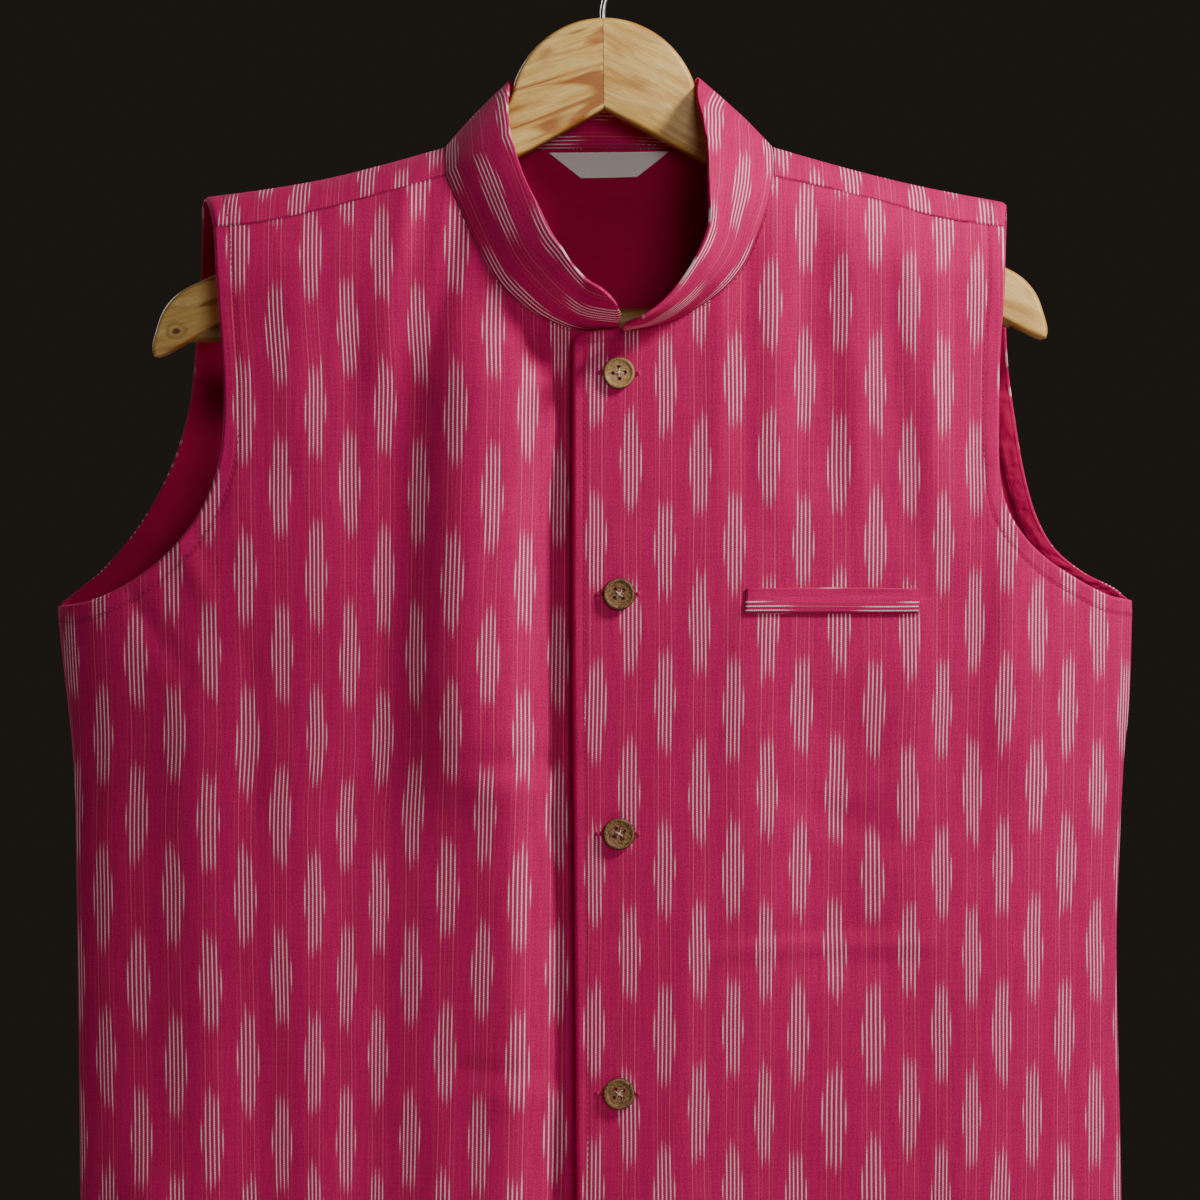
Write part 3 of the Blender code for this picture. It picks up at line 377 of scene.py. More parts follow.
# From each place on the neckline to the collar's top edge. Stations: 0 centre front,
# 1 forward seam, 2 just behind the ridge, 3 centre back.
COLLAR_LEAN = {  # station, dx, dy, dz
    "left": (
        (0.00, 0.5, -30.0, 12.3), (0.12, 3.6, -29.8, 20.6), (0.24, 11.8, -26.6, 22.6),
        (0.33, 17.4, -22.6, 23.4), (0.45, 23.2, -18.2, 25.0), (0.61, 27.2, -15.8, 24.4),
        (0.80, 28.9, -12.4, 22.0), (1.00, 31.9, -12.2, 19.2), (1.20, 31.0, -10.5, 21.2),
        (1.40, 31.3, -8.0, 24.9), (1.56, 31.8, -6.0, 28.2), (1.72, 31.6, -4.0, 31.2),
        (1.84, 30.4, -1.0, 34.0), (2.00, 29.0, 3.0, 37.0), (3.00, -2.0, 6.0, 36.5),
    ),
    "right": (
        (0.00, 0.0, -31.0, 1.0), (0.12, -1.7, -33.0, 3.5), (0.30, -7.2, -32.0, 10.0),
        (0.53, -14.3, -27.0, 19.0), (0.78, -26.2, -20.0, 19.4), (1.00, -33.3, -13.0, 17.8),
        (1.20, -35.3, -10.0, 20.7), (1.40, -37.5, -7.0, 24.3), (1.56, -38.1, -5.5, 29.7),
        (1.72, -36.6, -4.0, 33.7), (1.84, -35.6, -0.4, 37.2), (2.00, -34.0, 4.0, 38.0),
        (3.00, -2.0, 6.0, 36.5),
    ),
}
# How far the collar's lower edge stands off the neckline.
COLLAR_SET = (  # station, distance
    (0.0, 1.3), (0.45, 1.0), (0.85, 0.55), (1.25, 0.5), (1.5, 1.2), (2.0, 1.3), (2.6, 0.65), (3.0, 0.6),
)
# Where the neckline crosses the shoulder, from behind the ridge to the forward seam.
NECK_CROSSING = {  # share, x
    "left": ((0.0, -75.4), (0.2, -78.0), (0.35, -79.4), (1.0, -78.4)),
    "right": ((0.0, 81.4), (0.2, 84.0), (0.35, 85.6), (1.0, 85.0)),
}
# Rounded end of a hanger arm, from its top line round to its underside.
ARM_NOSE = (  # in from the tip, up from the tip
    (34.0, 37.0), (21.0, 31.6), (14.0, 27.6), (9.0, 23.0), (5.0, 17.0), (2.2, 9.0), (0.0, 0.0),
    (1.2, -4.7), (6.0, -3.8), (20.0, 3.6),
)
# Hollow curve between the hanger's hump and its arm.
ARM_HOLLOW = (  # x, z
    (46.3, -93.0), (48.6, -99.0), (53.8, -106.5), (64.0, -116.2),
)
# Top of each arm where the jacket's shoulders bear on it.
ARM_SEAT = {  # x, z
    "left": ((76.0, -123.4), (85.0, -126.5), (97.0, -130.2)),
    "right": ((76.0, -125.0), (85.0, -128.6), (97.0, -132.2)),
}


# ---- Curves and surfaces ---------------------------------------------------------------------


def lerp(a, b, share):
    return a + (b - a) * share


def smooth(share):
    share = min(max(share, 0.0), 1.0)
    return share * share * (3.0 - 2.0 * share)


class Run:
    """A smooth curve through a table's rows: the other columns at a key between the rows."""

    def __init__(self, rows):
        self.rows = sorted(rows)
        self.keys = [row[0] for row in self.rows]
        self.slopes = []
        last = len(self.rows) - 1
        for n, row in enumerate(self.rows):
            before, after = self.rows[max(n - 1, 0)], self.rows[min(n + 1, last)]
            span = max(after[0] - before[0], 1e-6)
            self.slopes.append([(b - a) / span for a, b in zip(before[1:], after[1:])])

    def __call__(self, key):
        if key <= self.keys[0]:
            return self.rows[0][1:]
        if key >= self.keys[-1]:
            return self.rows[-1][1:]
        n = bisect.bisect_left(self.keys, key)
        first, last = self.rows[n - 1], self.rows[n]
        span = last[0] - first[0]
        t = (key - first[0]) / span
        from_first, from_last = 2 * t**3 - 3 * t**2 + 1, 3 * t**2 - 2 * t**3
        into, out = (t**3 - 2 * t**2 + t) * span, (t**3 - t**2) * span
        return tuple(
            a * from_first + m * into + b * from_last + k * out
            for a, b, m, k in zip(first[1:], last[1:], self.slopes[n - 1], self.slopes[n])
        )


def path(points):
    """A smooth curve through points, by its share of their length."""
    marks = [0.0]
    for a, b in zip(points, points[1:]):
        marks.append(marks[-1] + math.dist(a, b))
    return Run([(mark / marks[-1], *point) for mark, point in zip(marks, points)])


def side_of(x):
    return "left" if x < 0 else "right"


RIDGE_RUN = {side: Run([(abs(x), z) for x, z in rows]) for side, rows in RIDGE.items()}
SEAM_RUN = {side: Run([(abs(x), z) for x, z in rows]) for side, rows in FORWARD_SEAM.items()}
SIDE_RUN = {side: Run(rows) for side, rows in SIDE_SEAM.items()}
DEPTH_RUN = {face: Run(rows) for face, rows in DEPTH.items()}
NECK_RUN = {side: path(rows) for side, rows in NECKLINE.items()}
FRONT_ARM_RUN = {side: path(rows) for side, rows in FRONT_ARMHOLE.items()}
BACK_ARM_RUN = {side: path(rows) for side, rows in BACK_ARMHOLE.items()}
CROSSING_RUN = {side: Run(rows) for side, rows in NECK_CROSSING.items()}
LEAN_RUN = {side: Run(rows) for side, rows in COLLAR_LEAN.items()}
SET_RUN = Run(COLLAR_SET)


def side_x(side, z):
    return SIDE_RUN[side](z)[0]


def ridge_z(x):
    bump = NECK_BUMP * max(0.0, 1.0 - (x / NECK_HALF) ** 2)
    return RIDGE_RUN[side_of(x)](abs(x))[0] + bump


def full_depth(face, x, z):
    """Depth of the body's flattened section at this place, before the shoulder closes it."""
    left, right = side_x("left", z), side_x("right", z)
    centre, half = (left + right) / 2, (right - left) / 2
    out = min(abs(x - centre) / half, 1.0)
    return DEPTH_RUN[face](z)[0] * (1.0 - out**ROUNDNESS) ** (1.0 / ROUNDNESS)


def shoulder_arch(x, z):
    drop = min(max((ridge_z(x) - z) / ARCH_DROP, 0.0), 1.0)
    return math.sqrt(1.0 - (1.0 - drop) ** 2)


def fold_height(folds, x, z):
    height = 0.0
    for head_x, head_z, foot_x, foot_z, half_width, rise in folds:
        share = (head_z - z) / (head_z - foot_z)
        if -0.15 < share < 1.15:
            off = (x - lerp(head_x, foot_x, share)) / half_width
            if abs(off) < 3.5:
                ends = smooth((share + 0.15) / 0.3) * smooth((1.15 - share) / 0.3)
                height += rise * ends * math.exp(-off * off)
    return height


def crease_height(creases, x, z):
    """Small creases: a ridge (height over 0) or trough on a line through x, z at this turn."""
    height = 0.0
    for crease_x, crease_z, turn, half_length, half_width, rise in creases:
        dx, dz = x - crease_x, z - crease_z
        if abs(dx) + abs(dz) < 1.6 * half_length + 4 * half_width:
            c, s = math.cos(turn), math.sin(turn)
            along = (dx * c + dz * s) / half_length
            across = (dz * c - dx * s) / half_width
            if abs(along) < 1.6 and abs(across) < 3.0:
                height += rise * math.exp(-across * across) * smooth(1.6 - abs(along))
    return height


def pocket_rise(x, z):
    """The bag of the welt pocket shows through as a slight step."""
    left, right = POCKET_BAG_X
    foot, top = POCKET_BAG_Z
    inside = smooth((x - left) / 5 + 0.5) * smooth((right - x) / 5 + 0.5)
    inside *= smooth((z - foot) / 4 + 0.5) * smooth((top - z) / 4 + 0.5)
    return POCKET_BAG_STEP * inside


def hang_rise(folds, creases, x, z):
    """How far folds and creases lift a panel here; flat at its side seams."""
    edge = smooth((side_x("right", z) - abs(x)) / EDGE_EASE)
    rise = fold_height(folds, x, z) * smooth((ridge_z(x) - z) / RIDGE_EASE) * edge
    return rise + crease_height(creases, x, z) * edge


def front_y(x, z):
    """The front's middle surface, where both fronts would lie with no overlap."""
    depth = full_depth("front", x, z) * shoulder_arch(x, z)
    return min(-depth - hang_rise(FRONT_FOLDS, FRONT_CREASES, x, z), -SIDE_SET)


def upper_front_y(x, z):
    return front_y(x, z) - pocket_rise(x, z)


def under_front_y(x, z):
    """The wearer's right front, which dives beneath the other one near the buttons."""
    dip = UNDER_DIP * smooth((x - UNDER_DIP_START) / (UNDER_DIP_END - UNDER_DIP_START))
    return front_y(x, z) + dip - crease_height(UNDER_CREASES, x, z)


def back_y(x, z):
    depth = full_depth("back", x, z) * shoulder_arch(x, z)
    return max(depth + hang_rise(BACK_FOLDS, BACK_CREASES, x, z), SIDE_SET)


def over_ridge(x, y):
    """The height of the cloth that wraps over the shoulder, at this depth."""
    face = "front" if y < 0 else "back"
    share = min(abs(y) / full_depth(face, x, ridge_z(x)), 1.0)
    return ridge_z(x) - ARCH_DROP * (1.0 - math.sqrt(1.0 - share * share))


# ---- Sheets of cloth -------------------------------------------------------------------------


class Sheet:
    """A grid of cloth, kept with the column and row of each point."""

    def __init__(self, columns, rows, place, skip=None):
        self.bm = bmesh.new()
        self.marks = {name: self.bm.verts.layers.float.new(name) for name in ("stitch", "seam")}
        self.threads = self.bm.loops.layers.uv.new("cloth")
        bmesh.ops.create_grid(self.bm, x_segments=columns, y_segments=rows, size=1.0)
        self.cell = {}
        for vert in self.bm.verts:
            at = (round((vert.co.x + 1) / 2 * columns), round((vert.co.y + 1) / 2 * rows))
            self.cell[vert] = at
        if skip:
            dropped = [face for face in self.bm.faces if skip(*self.corner(face))]
            bmesh.ops.delete(self.bm, geom=dropped, context="FACES")
            self.cell = {vert: at for vert, at in self.cell.items() if vert.is_valid}
        self.point = {at: vert for vert, at in self.cell.items()}
        for vert, at in self.cell.items():
            vert.co = Vector(place(*at)) * MM
        self.bm.normal_update()

    def corner(self, face):
        return tuple(min(self.cell[vert][axis] for vert in face.verts) for axis in (0, 1))

    def line(self, cells):
        """Points every half millimetre or so along the grid's points at these cells."""
        points = []
        for a, b in zip(cells, cells[1:]):
            start, end = self.point[a].co, self.point[b].co
            steps = max(1, round((end - start).length / (0.5 * MM)))
            points += [start.lerp(end, n / steps) for n in range(steps)]
        return points + [self.point[cells[-1]].co.copy()]

    def guide(self, cells, inward, offset):
        """A line at this distance inside the edge at these cells, just clear of the cloth."""
        points = []
        for n, (i, j) in enumerate(cells):
            vert = self.point[i, j]
            after, before = cells[min(n + 1, len(cells) - 1)], cells[max(n - 1, 0)]
            ahead = (self.point[after].co - self.point[before].co).normalized()
            inside = self.point[i + inward[0], j + inward[1]].co - vert.co
            inside -= ahead * inside.dot(ahead)
            points.append(vert.co + inside.normalized() * offset * MM + vert.normal * 1.5 * MM)
        return points

    def sink(self, depth):
        """Moves the sheet inwards along its normals; depth is a number or a function of a point."""
        moves = {}
        for vert in self.cell:
            deep = depth(vert) if callable(depth) else depth
            moves[vert] = vert.normal * deep * MM
        for vert, move in moves.items():
            vert.co -= move
        self.bm.normal_update()

    def roll(self, edge, radius):
        """Turns the sheet's edge inwards on a small round, as a folded edge of cloth turns."""
        near = tree_of(edge)

        def depth(vert):
            off = near.find(vert.co)[2] / MM
            return radius - math.sqrt(radius**2 - (radius - off) ** 2) if off < radius else 0.0

        self.sink(depth)

    def mark(self, name, value):
        for vert in self.cell:
            vert[self.marks[name]] = value(vert)

    def leave_unsewn(self, *names):
        for name in names:
            self.mark(name, lambda vert: FAR)

    def weave_map(self, place):
        """Lays the threads: place gives the way across and along the cloth in millimetres."""
        laid = {vert: Vector(place(vert)) * MM for vert in self.cell}
        for face in self.bm.faces:
            for loop in face.loops:
                loop[self.threads].uv = laid[loop.vert]

    def finish(self, name, finishes, wall, rim=0.35):
        """Makes the object, with its wall and softly rounded edges."""
        obj = make_piece(name, self.bm, finishes)
        thickness = obj.modifiers.new("wall", "SOLIDIFY")
        thickness.thickness = wall * MM
        thickness.offset = 0.0
        if len(finishes) > 1:
            thickness.material_offset = 1
        soften(obj, rim)
        return obj


def tree_of(points):
    tree = KDTree(len(points))
    for n, point in enumerate(points):
        tree.insert(point, n)
    tree.balance()
    return tree


def make_piece(name, bm, finishes):
    mesh = bpy.data.meshes.new(name)
    bm.to_mesh(mesh)
    bm.free()
    mesh.shade_smooth()
    for finish in finishes:
        mesh.materials.append(finish)
    obj = bpy.data.objects.new(name, mesh)
    bpy.context.scene.collection.objects.link(obj)
    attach(obj, "root")
    return obj


def soften(obj, width):
    bevel = obj.modifiers.new("soft edge", "BEVEL")
    bevel.width = width * MM
    bevel.segments = 2
    bevel.limit_method = "ANGLE"
    bevel.angle_limit = math.radians(50)
    bevel.harden_normals = False


class Grain:
    """How far along its threads each place of a panel lies, measured over its folds."""

    STEP = 4.0

    def __init__(self, wide, tall, x_range, z_range):
        self.x0, self.z0 = x_range[0], z_range[0]
        self.nx = int((x_range[1] - x_range[0]) / self.STEP) + 2
        self.nz = int((z_range[1] - z_range[0]) / self.STEP) + 2
        xs = [self.x0 + i * self.STEP for i in range(self.nx)]
        zs = [self.z0 + j * self.STEP for j in range(self.nz)]
        self.across = [self.lengths([wide(x, z) for x in xs]) for z in zs]
        columns = [self.lengths([tall(x, z) for z in zs]) for x in xs]
        self.up = [[column[j] for column in columns] for j in range(self.nz)]

    def lengths(self, depths):
        run = [0.0]
        for a, b in zip(depths, depths[1:]):
            run.append(run[-1] + math.hypot(self.STEP, min(abs(b - a), self.STEP)))
        return run

    def read(self, table, x, z):
        i, j = (x - self.x0) / self.STEP, (z - self.z0) / self.STEP
        i0, j0 = min(max(int(i), 0), self.nx - 2), min(max(int(j), 0), self.nz - 2)
        low = lerp(table[j0][i0], table[j0][i0 + 1], i - i0)
        high = lerp(table[j0 + 1][i0], table[j0 + 1][i0 + 1], i - i0)
        return lerp(low, high, j - j0)

    def at(self, x, z):
        """Across from x = 0 and up from the level of the middle of the chest."""
        across = self.read(self.across, x, z) - self.read(self.across, 0.0, z)
        up = self.read(self.up, x, z) - self.read(self.up, x, GRAIN_Z)
        return across, up


# ---- Fronts ----------------------------------------------------------------------------------

STITCH_ROWS = {}  # guide lines for the stitches on each piece


def shares(count, ease):
    """Even shares from 0 to 1, drawn closer towards both ends."""
    rows = [n / count for n in range(count + 1)]
    return [share - ease * math.sin(math.tau * share) / math.tau for share in rows]


def early(count, power):
    """Shares from 0 to just short of 1, closer at the start."""
    return [(n / count) ** power for n in range(count)]


def front_rows(side, foot_x):
    """Both ends of each row of a front: on its front edge or neckline, and on its side."""
    under_z = FRONT_ARMHOLE[side][0][1]
    corner = PLACKET_CORNER[side]
    edge_x, corner_z = corner[0]
    turn = path(corner)
    rows = []
    for share in early(FRONT_BODY_ROWS, 1.25):
        z = lerp(HEM_Z, under_z, share)
        inner = (lerp(foot_x, edge_x, share), lerp(HEM_Z, CHEST_FOOT_Z, share))
        rows.append((inner, (side_x(side, z), z)))
    for n in range(FRONT_CHEST_ROWS):
        share = n / FRONT_CHEST_ROWS
        inner = (edge_x, lerp(CHEST_FOOT_Z, corner_z, share))
        rows.append((inner, FRONT_ARM_RUN[side](CHEST_SHARE * share)))
    for n in range(FRONT_CORNER_ROWS):
        share = n / FRONT_CORNER_ROWS
        rows.append((turn(share), FRONT_ARM_RUN[side](lerp(CHEST_SHARE, NECK_SHARE, share))))
    for n in range(FRONT_NECK_ROWS + 1):
        share = n / FRONT_NECK_ROWS
        rows.append((NECK_RUN[side](share), FRONT_ARM_RUN[side](lerp(NECK_SHARE, 1.0, share))))
    return rows


def make_front(name, side, foot_x, surface, replaced):
    rows = front_rows(side, foot_x)
    spread = shares(FRONT_SHEET_COLUMNS, 0.86)
    if side == "left":
        spread.reverse()
    last = len(rows) - 1

    def place(i, j):
        (inner_x, inner_z), (outer_x, outer_z) = rows[j]
        x, z = lerp(inner_x, outer_x, spread[i]), lerp(inner_z, outer_z, spread[i])
        if j > last - SEAM_EASE_ROWS:
            seam_z = SEAM_RUN[side](abs(x))[0] - SEAM_SET
            z = lerp(z, seam_z, 1.0 - (last - j) / SEAM_EASE_ROWS)
        return (x, surface(x, z), z)

    sheet = Sheet(FRONT_SHEET_COLUMNS, last, place)
    inner = 0 if side == "right" else FRONT_SHEET_COLUMNS
    outer = FRONT_SHEET_COLUMNS - inner
    neck = last - FRONT_NECK_ROWS
    edge_cells = [(inner, j) for j in range(neck + 1)]
    hem_cells = [(i, 0) for i in range(FRONT_SHEET_COLUMNS + 1)]
    armhole_cells = [(outer, j) for j in range(FRONT_BODY_ROWS, last + 1)]
    neck_cells = [(inner, j) for j in range(neck, last + 1)]
    front_edge, hem, armhole = (sheet.line(cells) for cells in (edge_cells, hem_cells, armhole_cells))
    side_seam = sheet.line([(outer, j) for j in range(FRONT_BODY_ROWS + 1)])
    shoulder = sheet.line([(i, last) for i in range(FRONT_SHEET_COLUMNS + 1)])
    grain = Grain(
        lambda x, z: full_depth("front", x, z) + fold_height(FRONT_FOLDS, x, z),
        surface, GRAIN_X, (GRAIN_FOOT, -130.0),
    )
    lean = Run(LEAN[side])
    column = Run(COLUMNS[side])

    def laid(vert):
        x, z = vert.co.x / MM, vert.co.z / MM
        across, up = grain.at(x, z)
        level = across - lean(x)[0] * (z - GRAIN_Z)
        return column(level)[0] * IKAT_PITCH, up - FIRST_ROW[side]

    sheet.weave_map(laid)
    mark_stitches(sheet, [(front_edge, FRONT_STITCH), (armhole, ARM_STITCH), (hem, HEM_STITCH)])
    step = STITCH_INWARD if side == "right" else -STITCH_INWARD
    guides = [
        sheet.guide(edge_cells, (step, 0), FRONT_STITCH),
        sheet.guide(armhole_cells, (-step, 0), ARM_STITCH),
        sheet.guide(hem_cells, (0, STITCH_INWARD), HEM_STITCH),
        sheet.guide(neck_cells, (step, 0), NECK_STITCH),
    ]
    mark_seams(sheet, [side_seam, shoulder, sheet.line(neck_cells)])
    sheet.roll(front_edge + hem, HEM_ROLL)
    sheet.roll(armhole, ARM_ROLL)
    obj = sheet.finish(name, [IKAT, LINING_CLOTH], CLOTH)
    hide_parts(replaced)
    STITCH_ROWS[obj.name] = guides
    return obj


def mark_stitches(sheet, lines):
    """Marks how far each point is from the nearest row of stitches; over 0 inside the row."""
    trees = [(tree_of(edge), offset) for edge, offset in lines]
    sheet.mark("stitch", lambda vert: min(tree.find(vert.co)[2] / MM - offset for tree, offset in trees))


def mark_seams(sheet, lines):
    tree = tree_of([point for line in lines for point in line])
    sheet.mark("seam", lambda vert: min(tree.find(vert.co)[2] / MM, FAR))


# ---- Back, its lining and its armhole facings ------------------------------------------------

STRAP_COLUMNS = 7
BACK_NECK_COLUMNS = 12
BODY_ROWS = 10
ARMHOLE_ROWS = 12
RIDGE_ROWS = 6
BACK_COLUMNS = 2 * STRAP_COLUMNS + BACK_NECK_COLUMNS


def back_spread(i):
    share = 2.0 * i / BACK_COLUMNS - 1.0
    return 0.5 + 0.25 * (share + math.sin(share * math.pi / 2))


def strap_share(side, i):
    """Share of the way from the armhole to the neck for a column of a shoulder strap."""
    step = i if side == "right" else BACK_COLUMNS - i
    return 0.11 * step if step < 1 else lerp(0.11, 1.0, (step - 1) / (STRAP_COLUMNS - 1))


def behind_ridge(x):
    """Depth at which the strap's rows begin, just behind the ridge."""
    return lerp(12.0, 14.0, (abs(x) - 80.0) / 120.0)


def crest_row(i):
    """The row that runs along both straps behind the ridge, and along the back neckline."""
    if STRAP_COLUMNS <= i <= BACK_COLUMNS - STRAP_COLUMNS:
        share = (i - STRAP_COLUMNS) / BACK_NECK_COLUMNS
        right_x, left_x = NECK_CROSSING["right"][0][1], NECK_CROSSING["left"][0][1]
        right_z = over_ridge(right_x, behind_ridge(right_x))
        left_z = over_ridge(left_x, behind_ridge(left_x))
        z = lerp(BACK_NECK_Z, lerp(right_z, left_z, share), abs(2 * share - 1) ** 2.5)
        return lerp(right_x, left_x, share), z
    side = "right" if i < STRAP_COLUMNS else "left"
    x = lerp(BACK_ARMHOLE[side][-1][0], NECK_CROSSING[side][0][1], strap_share(side, i))
    return x, over_ridge(x, behind_ridge(x))


def back_point(i, j):
    """Column i runs from the wearer's left to the right; row j from the hem to the seam."""
    low, crest = BODY_ROWS, BODY_ROWS + ARMHOLE_ROWS
    spread = back_spread(i)
    if j <= low:
        share = j / low
        right_z = lerp(HEM_Z, BACK_ARMHOLE["right"][0][1], share)
        left_z = lerp(HEM_Z, BACK_ARMHOLE["left"][0][1], share)
        z = lerp(right_z, left_z, spread)
        x = lerp(side_x("right", right_z), side_x("left", left_z), spread)
        return (x, back_y(x, z), z)
    if j <= crest:
        share = (j - low) / ARMHOLE_ROWS
        right, left = BACK_ARM_RUN["right"](share), BACK_ARM_RUN["left"](share)
        rise = {}
        for side, point in (("right", right), ("left", left)):
            foot, head = BACK_ARMHOLE[side][0][1], BACK_ARMHOLE[side][-1][1]
            rise[side] = (point[1] - foot) / (head - foot)
        climb = lerp(rise["right"], rise["left"], spread)
        crest_x, crest_z = crest_row(i)
        crest_right, crest_left = crest_row(0)[0], crest_row(BACK_COLUMNS)[0]
        crest_spread = (crest_x - crest_right) / (crest_left - crest_right)
        x = lerp(right[0], left[0], lerp(spread, crest_spread, smooth(climb)))
        under_z = lerp(BACK_ARMHOLE["right"][0][1], BACK_ARMHOLE["left"][0][1], spread)
        z = lerp(under_z, crest_z, climb)
        return (x, back_y(x, z), z)
    return strap_point(i, (j - crest) / RIDGE_ROWS)


def strap_point(i, share):
    """On a shoulder strap: share 0 just behind the ridge, 1 at the forward seam."""
    side = "right" if i <= STRAP_COLUMNS else "left"
    neck_x = CROSSING_RUN[side](share)[0]
    arm_x = lerp(BACK_ARMHOLE[side][-1][0], FORWARD_SEAM[side][-1][0], share**1.5)
    x = lerp(arm_x, neck_x, strap_share(side, i))
    seam_z = SEAM_RUN[side](abs(x))[0] + SEAM_SET
    y = lerp(behind_ridge(x), front_y(x, seam_z), share)
    return (x, y, over_ridge(x, y))


class BackGrid:
    """The solid's columns and rows, each parted into this many finer ones."""

    def __init__(self, strap, neck, body, arm, ridge):
        parts = [strap] * STRAP_COLUMNS + [neck] * BACK_NECK_COLUMNS + [strap] * STRAP_COLUMNS
        self.i_at = [n + k / part for n, part in enumerate(parts) for k in range(part)]
        self.i_at.append(float(BACK_COLUMNS))
        parts = [body] * BODY_ROWS + [arm] * ARMHOLE_ROWS + [ridge] * RIDGE_ROWS
        self.j_at = [n + k / part for n, part in enumerate(parts) for k in range(part)]
        self.j_at.append(float(len(parts)))
        self.columns, self.rows = len(self.i_at) - 1, len(self.j_at) - 1
        self.neck_start, self.neck_end = strap * STRAP_COLUMNS, self.columns - strap * STRAP_COLUMNS
        self.low = body * BODY_ROWS
        self.crest = self.low + arm * ARMHOLE_ROWS

    def place(self, i, j):
        return back_point(self.i_at[i], self.j_at[j])

    def over_neck(self, i, j):
        return j >= self.crest and self.neck_start <= i < self.neck_end

    def sheet(self):
        return Sheet(self.columns, self.rows, self.place, self.over_neck)


def lay_back_threads(sheet, grid, start):
    """The threads run up the back and on over the shoulders."""
    grain = Grain(
        lambda x, z: full_depth("back", x, z) + fold_height(BACK_FOLDS, x, z),
        back_y, GRAIN_X, (GRAIN_FOOT, -110.0),
    )
    laid = {}
    for j in range(grid.rows + 1):
        for i in range(grid.columns + 1):
            vert = sheet.point.get((i, j))
            if vert is None:
                continue
            if j <= grid.crest:
                across, up = grain.at(vert.co.x / MM, vert.co.z / MM)
            else:
                below = sheet.point[i, j - 1]
                across, up = laid[below]
                across += (vert.co.x - below.co.x) / MM
                up += math.hypot(vert.co.y - below.co.y, vert.co.z - below.co.z) / MM
            laid[vert] = (across, up)
    sheet.weave_map(lambda vert: (laid[vert][0] - start[0], laid[vert][1] - start[1]))


def make_back():
    grid = BackGrid(strap=7, neck=6, body=12, arm=6, ridge=5)
    sheet = grid.sheet()
    top = grid.rows
    armholes, seams, guides = [], [], []
    for i, step in ((0, STITCH_INWARD), (grid.columns, -STITCH_INWARD)):
        armhole_cells = [(i, j) for j in range(grid.low, top + 1)]
        armholes += sheet.line(armhole_cells)
        seams += sheet.line([(i, j) for j in range(grid.low + 1)])
        guides.append(sheet.guide(armhole_cells, (step, 0), ARM_STITCH))
    hem_cells = [(i, 0) for i in range(grid.columns + 1)]
    hem = sheet.line(hem_cells)
    guides.append(sheet.guide(hem_cells, (0, STITCH_INWARD), HEM_STITCH))
    seams += sheet.line([(i, top) for i in range(grid.neck_start + 1)])
    seams += sheet.line([(i, top) for i in range(grid.neck_end, grid.columns + 1)])
    neck = [(grid.neck_start, j) for j in range(top, grid.crest, -1)]
    neck += [(i, grid.crest) for i in range(grid.neck_start, grid.neck_end + 1)]
    neck += [(grid.neck_end, j) for j in range(grid.crest + 1, top + 1)]
    seams += sheet.line(neck)
    lay_back_threads(sheet, grid, BACK_START)
    mark_stitches(sheet, [(armholes, ARM_STITCH), (hem, HEM_STITCH)])
    mark_seams(sheet, [seams])
    sheet.roll(armholes, ARM_ROLL)
    sheet.roll(hem, HEM_ROLL)
    obj = sheet.finish("back_cloth", [IKAT], CLOTH)
    STITCH_ROWS[obj.name] = guides
    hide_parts("back")


def make_back_lining():
    grid = BackGrid(strap=3, neck=3, body=6, arm=4, ridge=3)
    sheet = grid.sheet()
    lay_back_threads(sheet, grid, (0.0, 0.0))
    sheet.leave_unsewn("stitch", "seam")
    sheet.sink(CLOTH / 2 + LINING / 2 + LINING_CLEAR)
    obj = sheet.finish("lining_cloth", [LINING_CLOTH], LINING)
    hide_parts("back_lining")
    return obj


def make_facing(name, near, far, replaced, seed):
    """A narrow bias strip round the inside of the back's armhole, puckered by its stitches."""
    first, last = BODY_ROWS + 0.1, BODY_ROWS + ARMHOLE_ROWS - 0.1
    columns, rows = 10, 260

    def place(i, j):
        return back_point(lerp(near, far, i / columns), lerp(first, last, j / rows))

    sheet = Sheet(columns, rows, place)
    run = [0.0]
    for j in range(rows):
        run.append(run[-1] + (sheet.point[0, j + 1].co - sheet.point[0, j].co).length / MM)

    def depth(vert):
        i, j = sheet.cell[vert]
        across = i / columns
        swell = math.sin(across * math.pi)
        way = Vector((run[j] * 0.16 + across * 0.9, across * 1.4, seed))
        pucker = noise.noise(way) + 0.6 * noise.noise(way * 2.1)
        return FACING_DEPTH + 0.35 * swell + 0.75 * pucker * math.sqrt(swell)

    def from_stitches(vert):
        i = sheet.cell[vert][0]
        return 1.2 - 12.0 * min(i, columns - i) / columns

    def on_bias(vert):
        i, j = sheet.cell[vert]
        return i * 1.2 + run[j] * 0.7, run[j] * 0.7

    sheet.mark("stitch", from_stitches)
    sheet.leave_unsewn("seam")
    sheet.weave_map(on_bias)
    sheet.sink(depth)
    obj = sheet.finish(name, [LINING_CLOTH], LINING)
    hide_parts(replaced)


# ---- Collar ----------------------------------------------------------------------------------


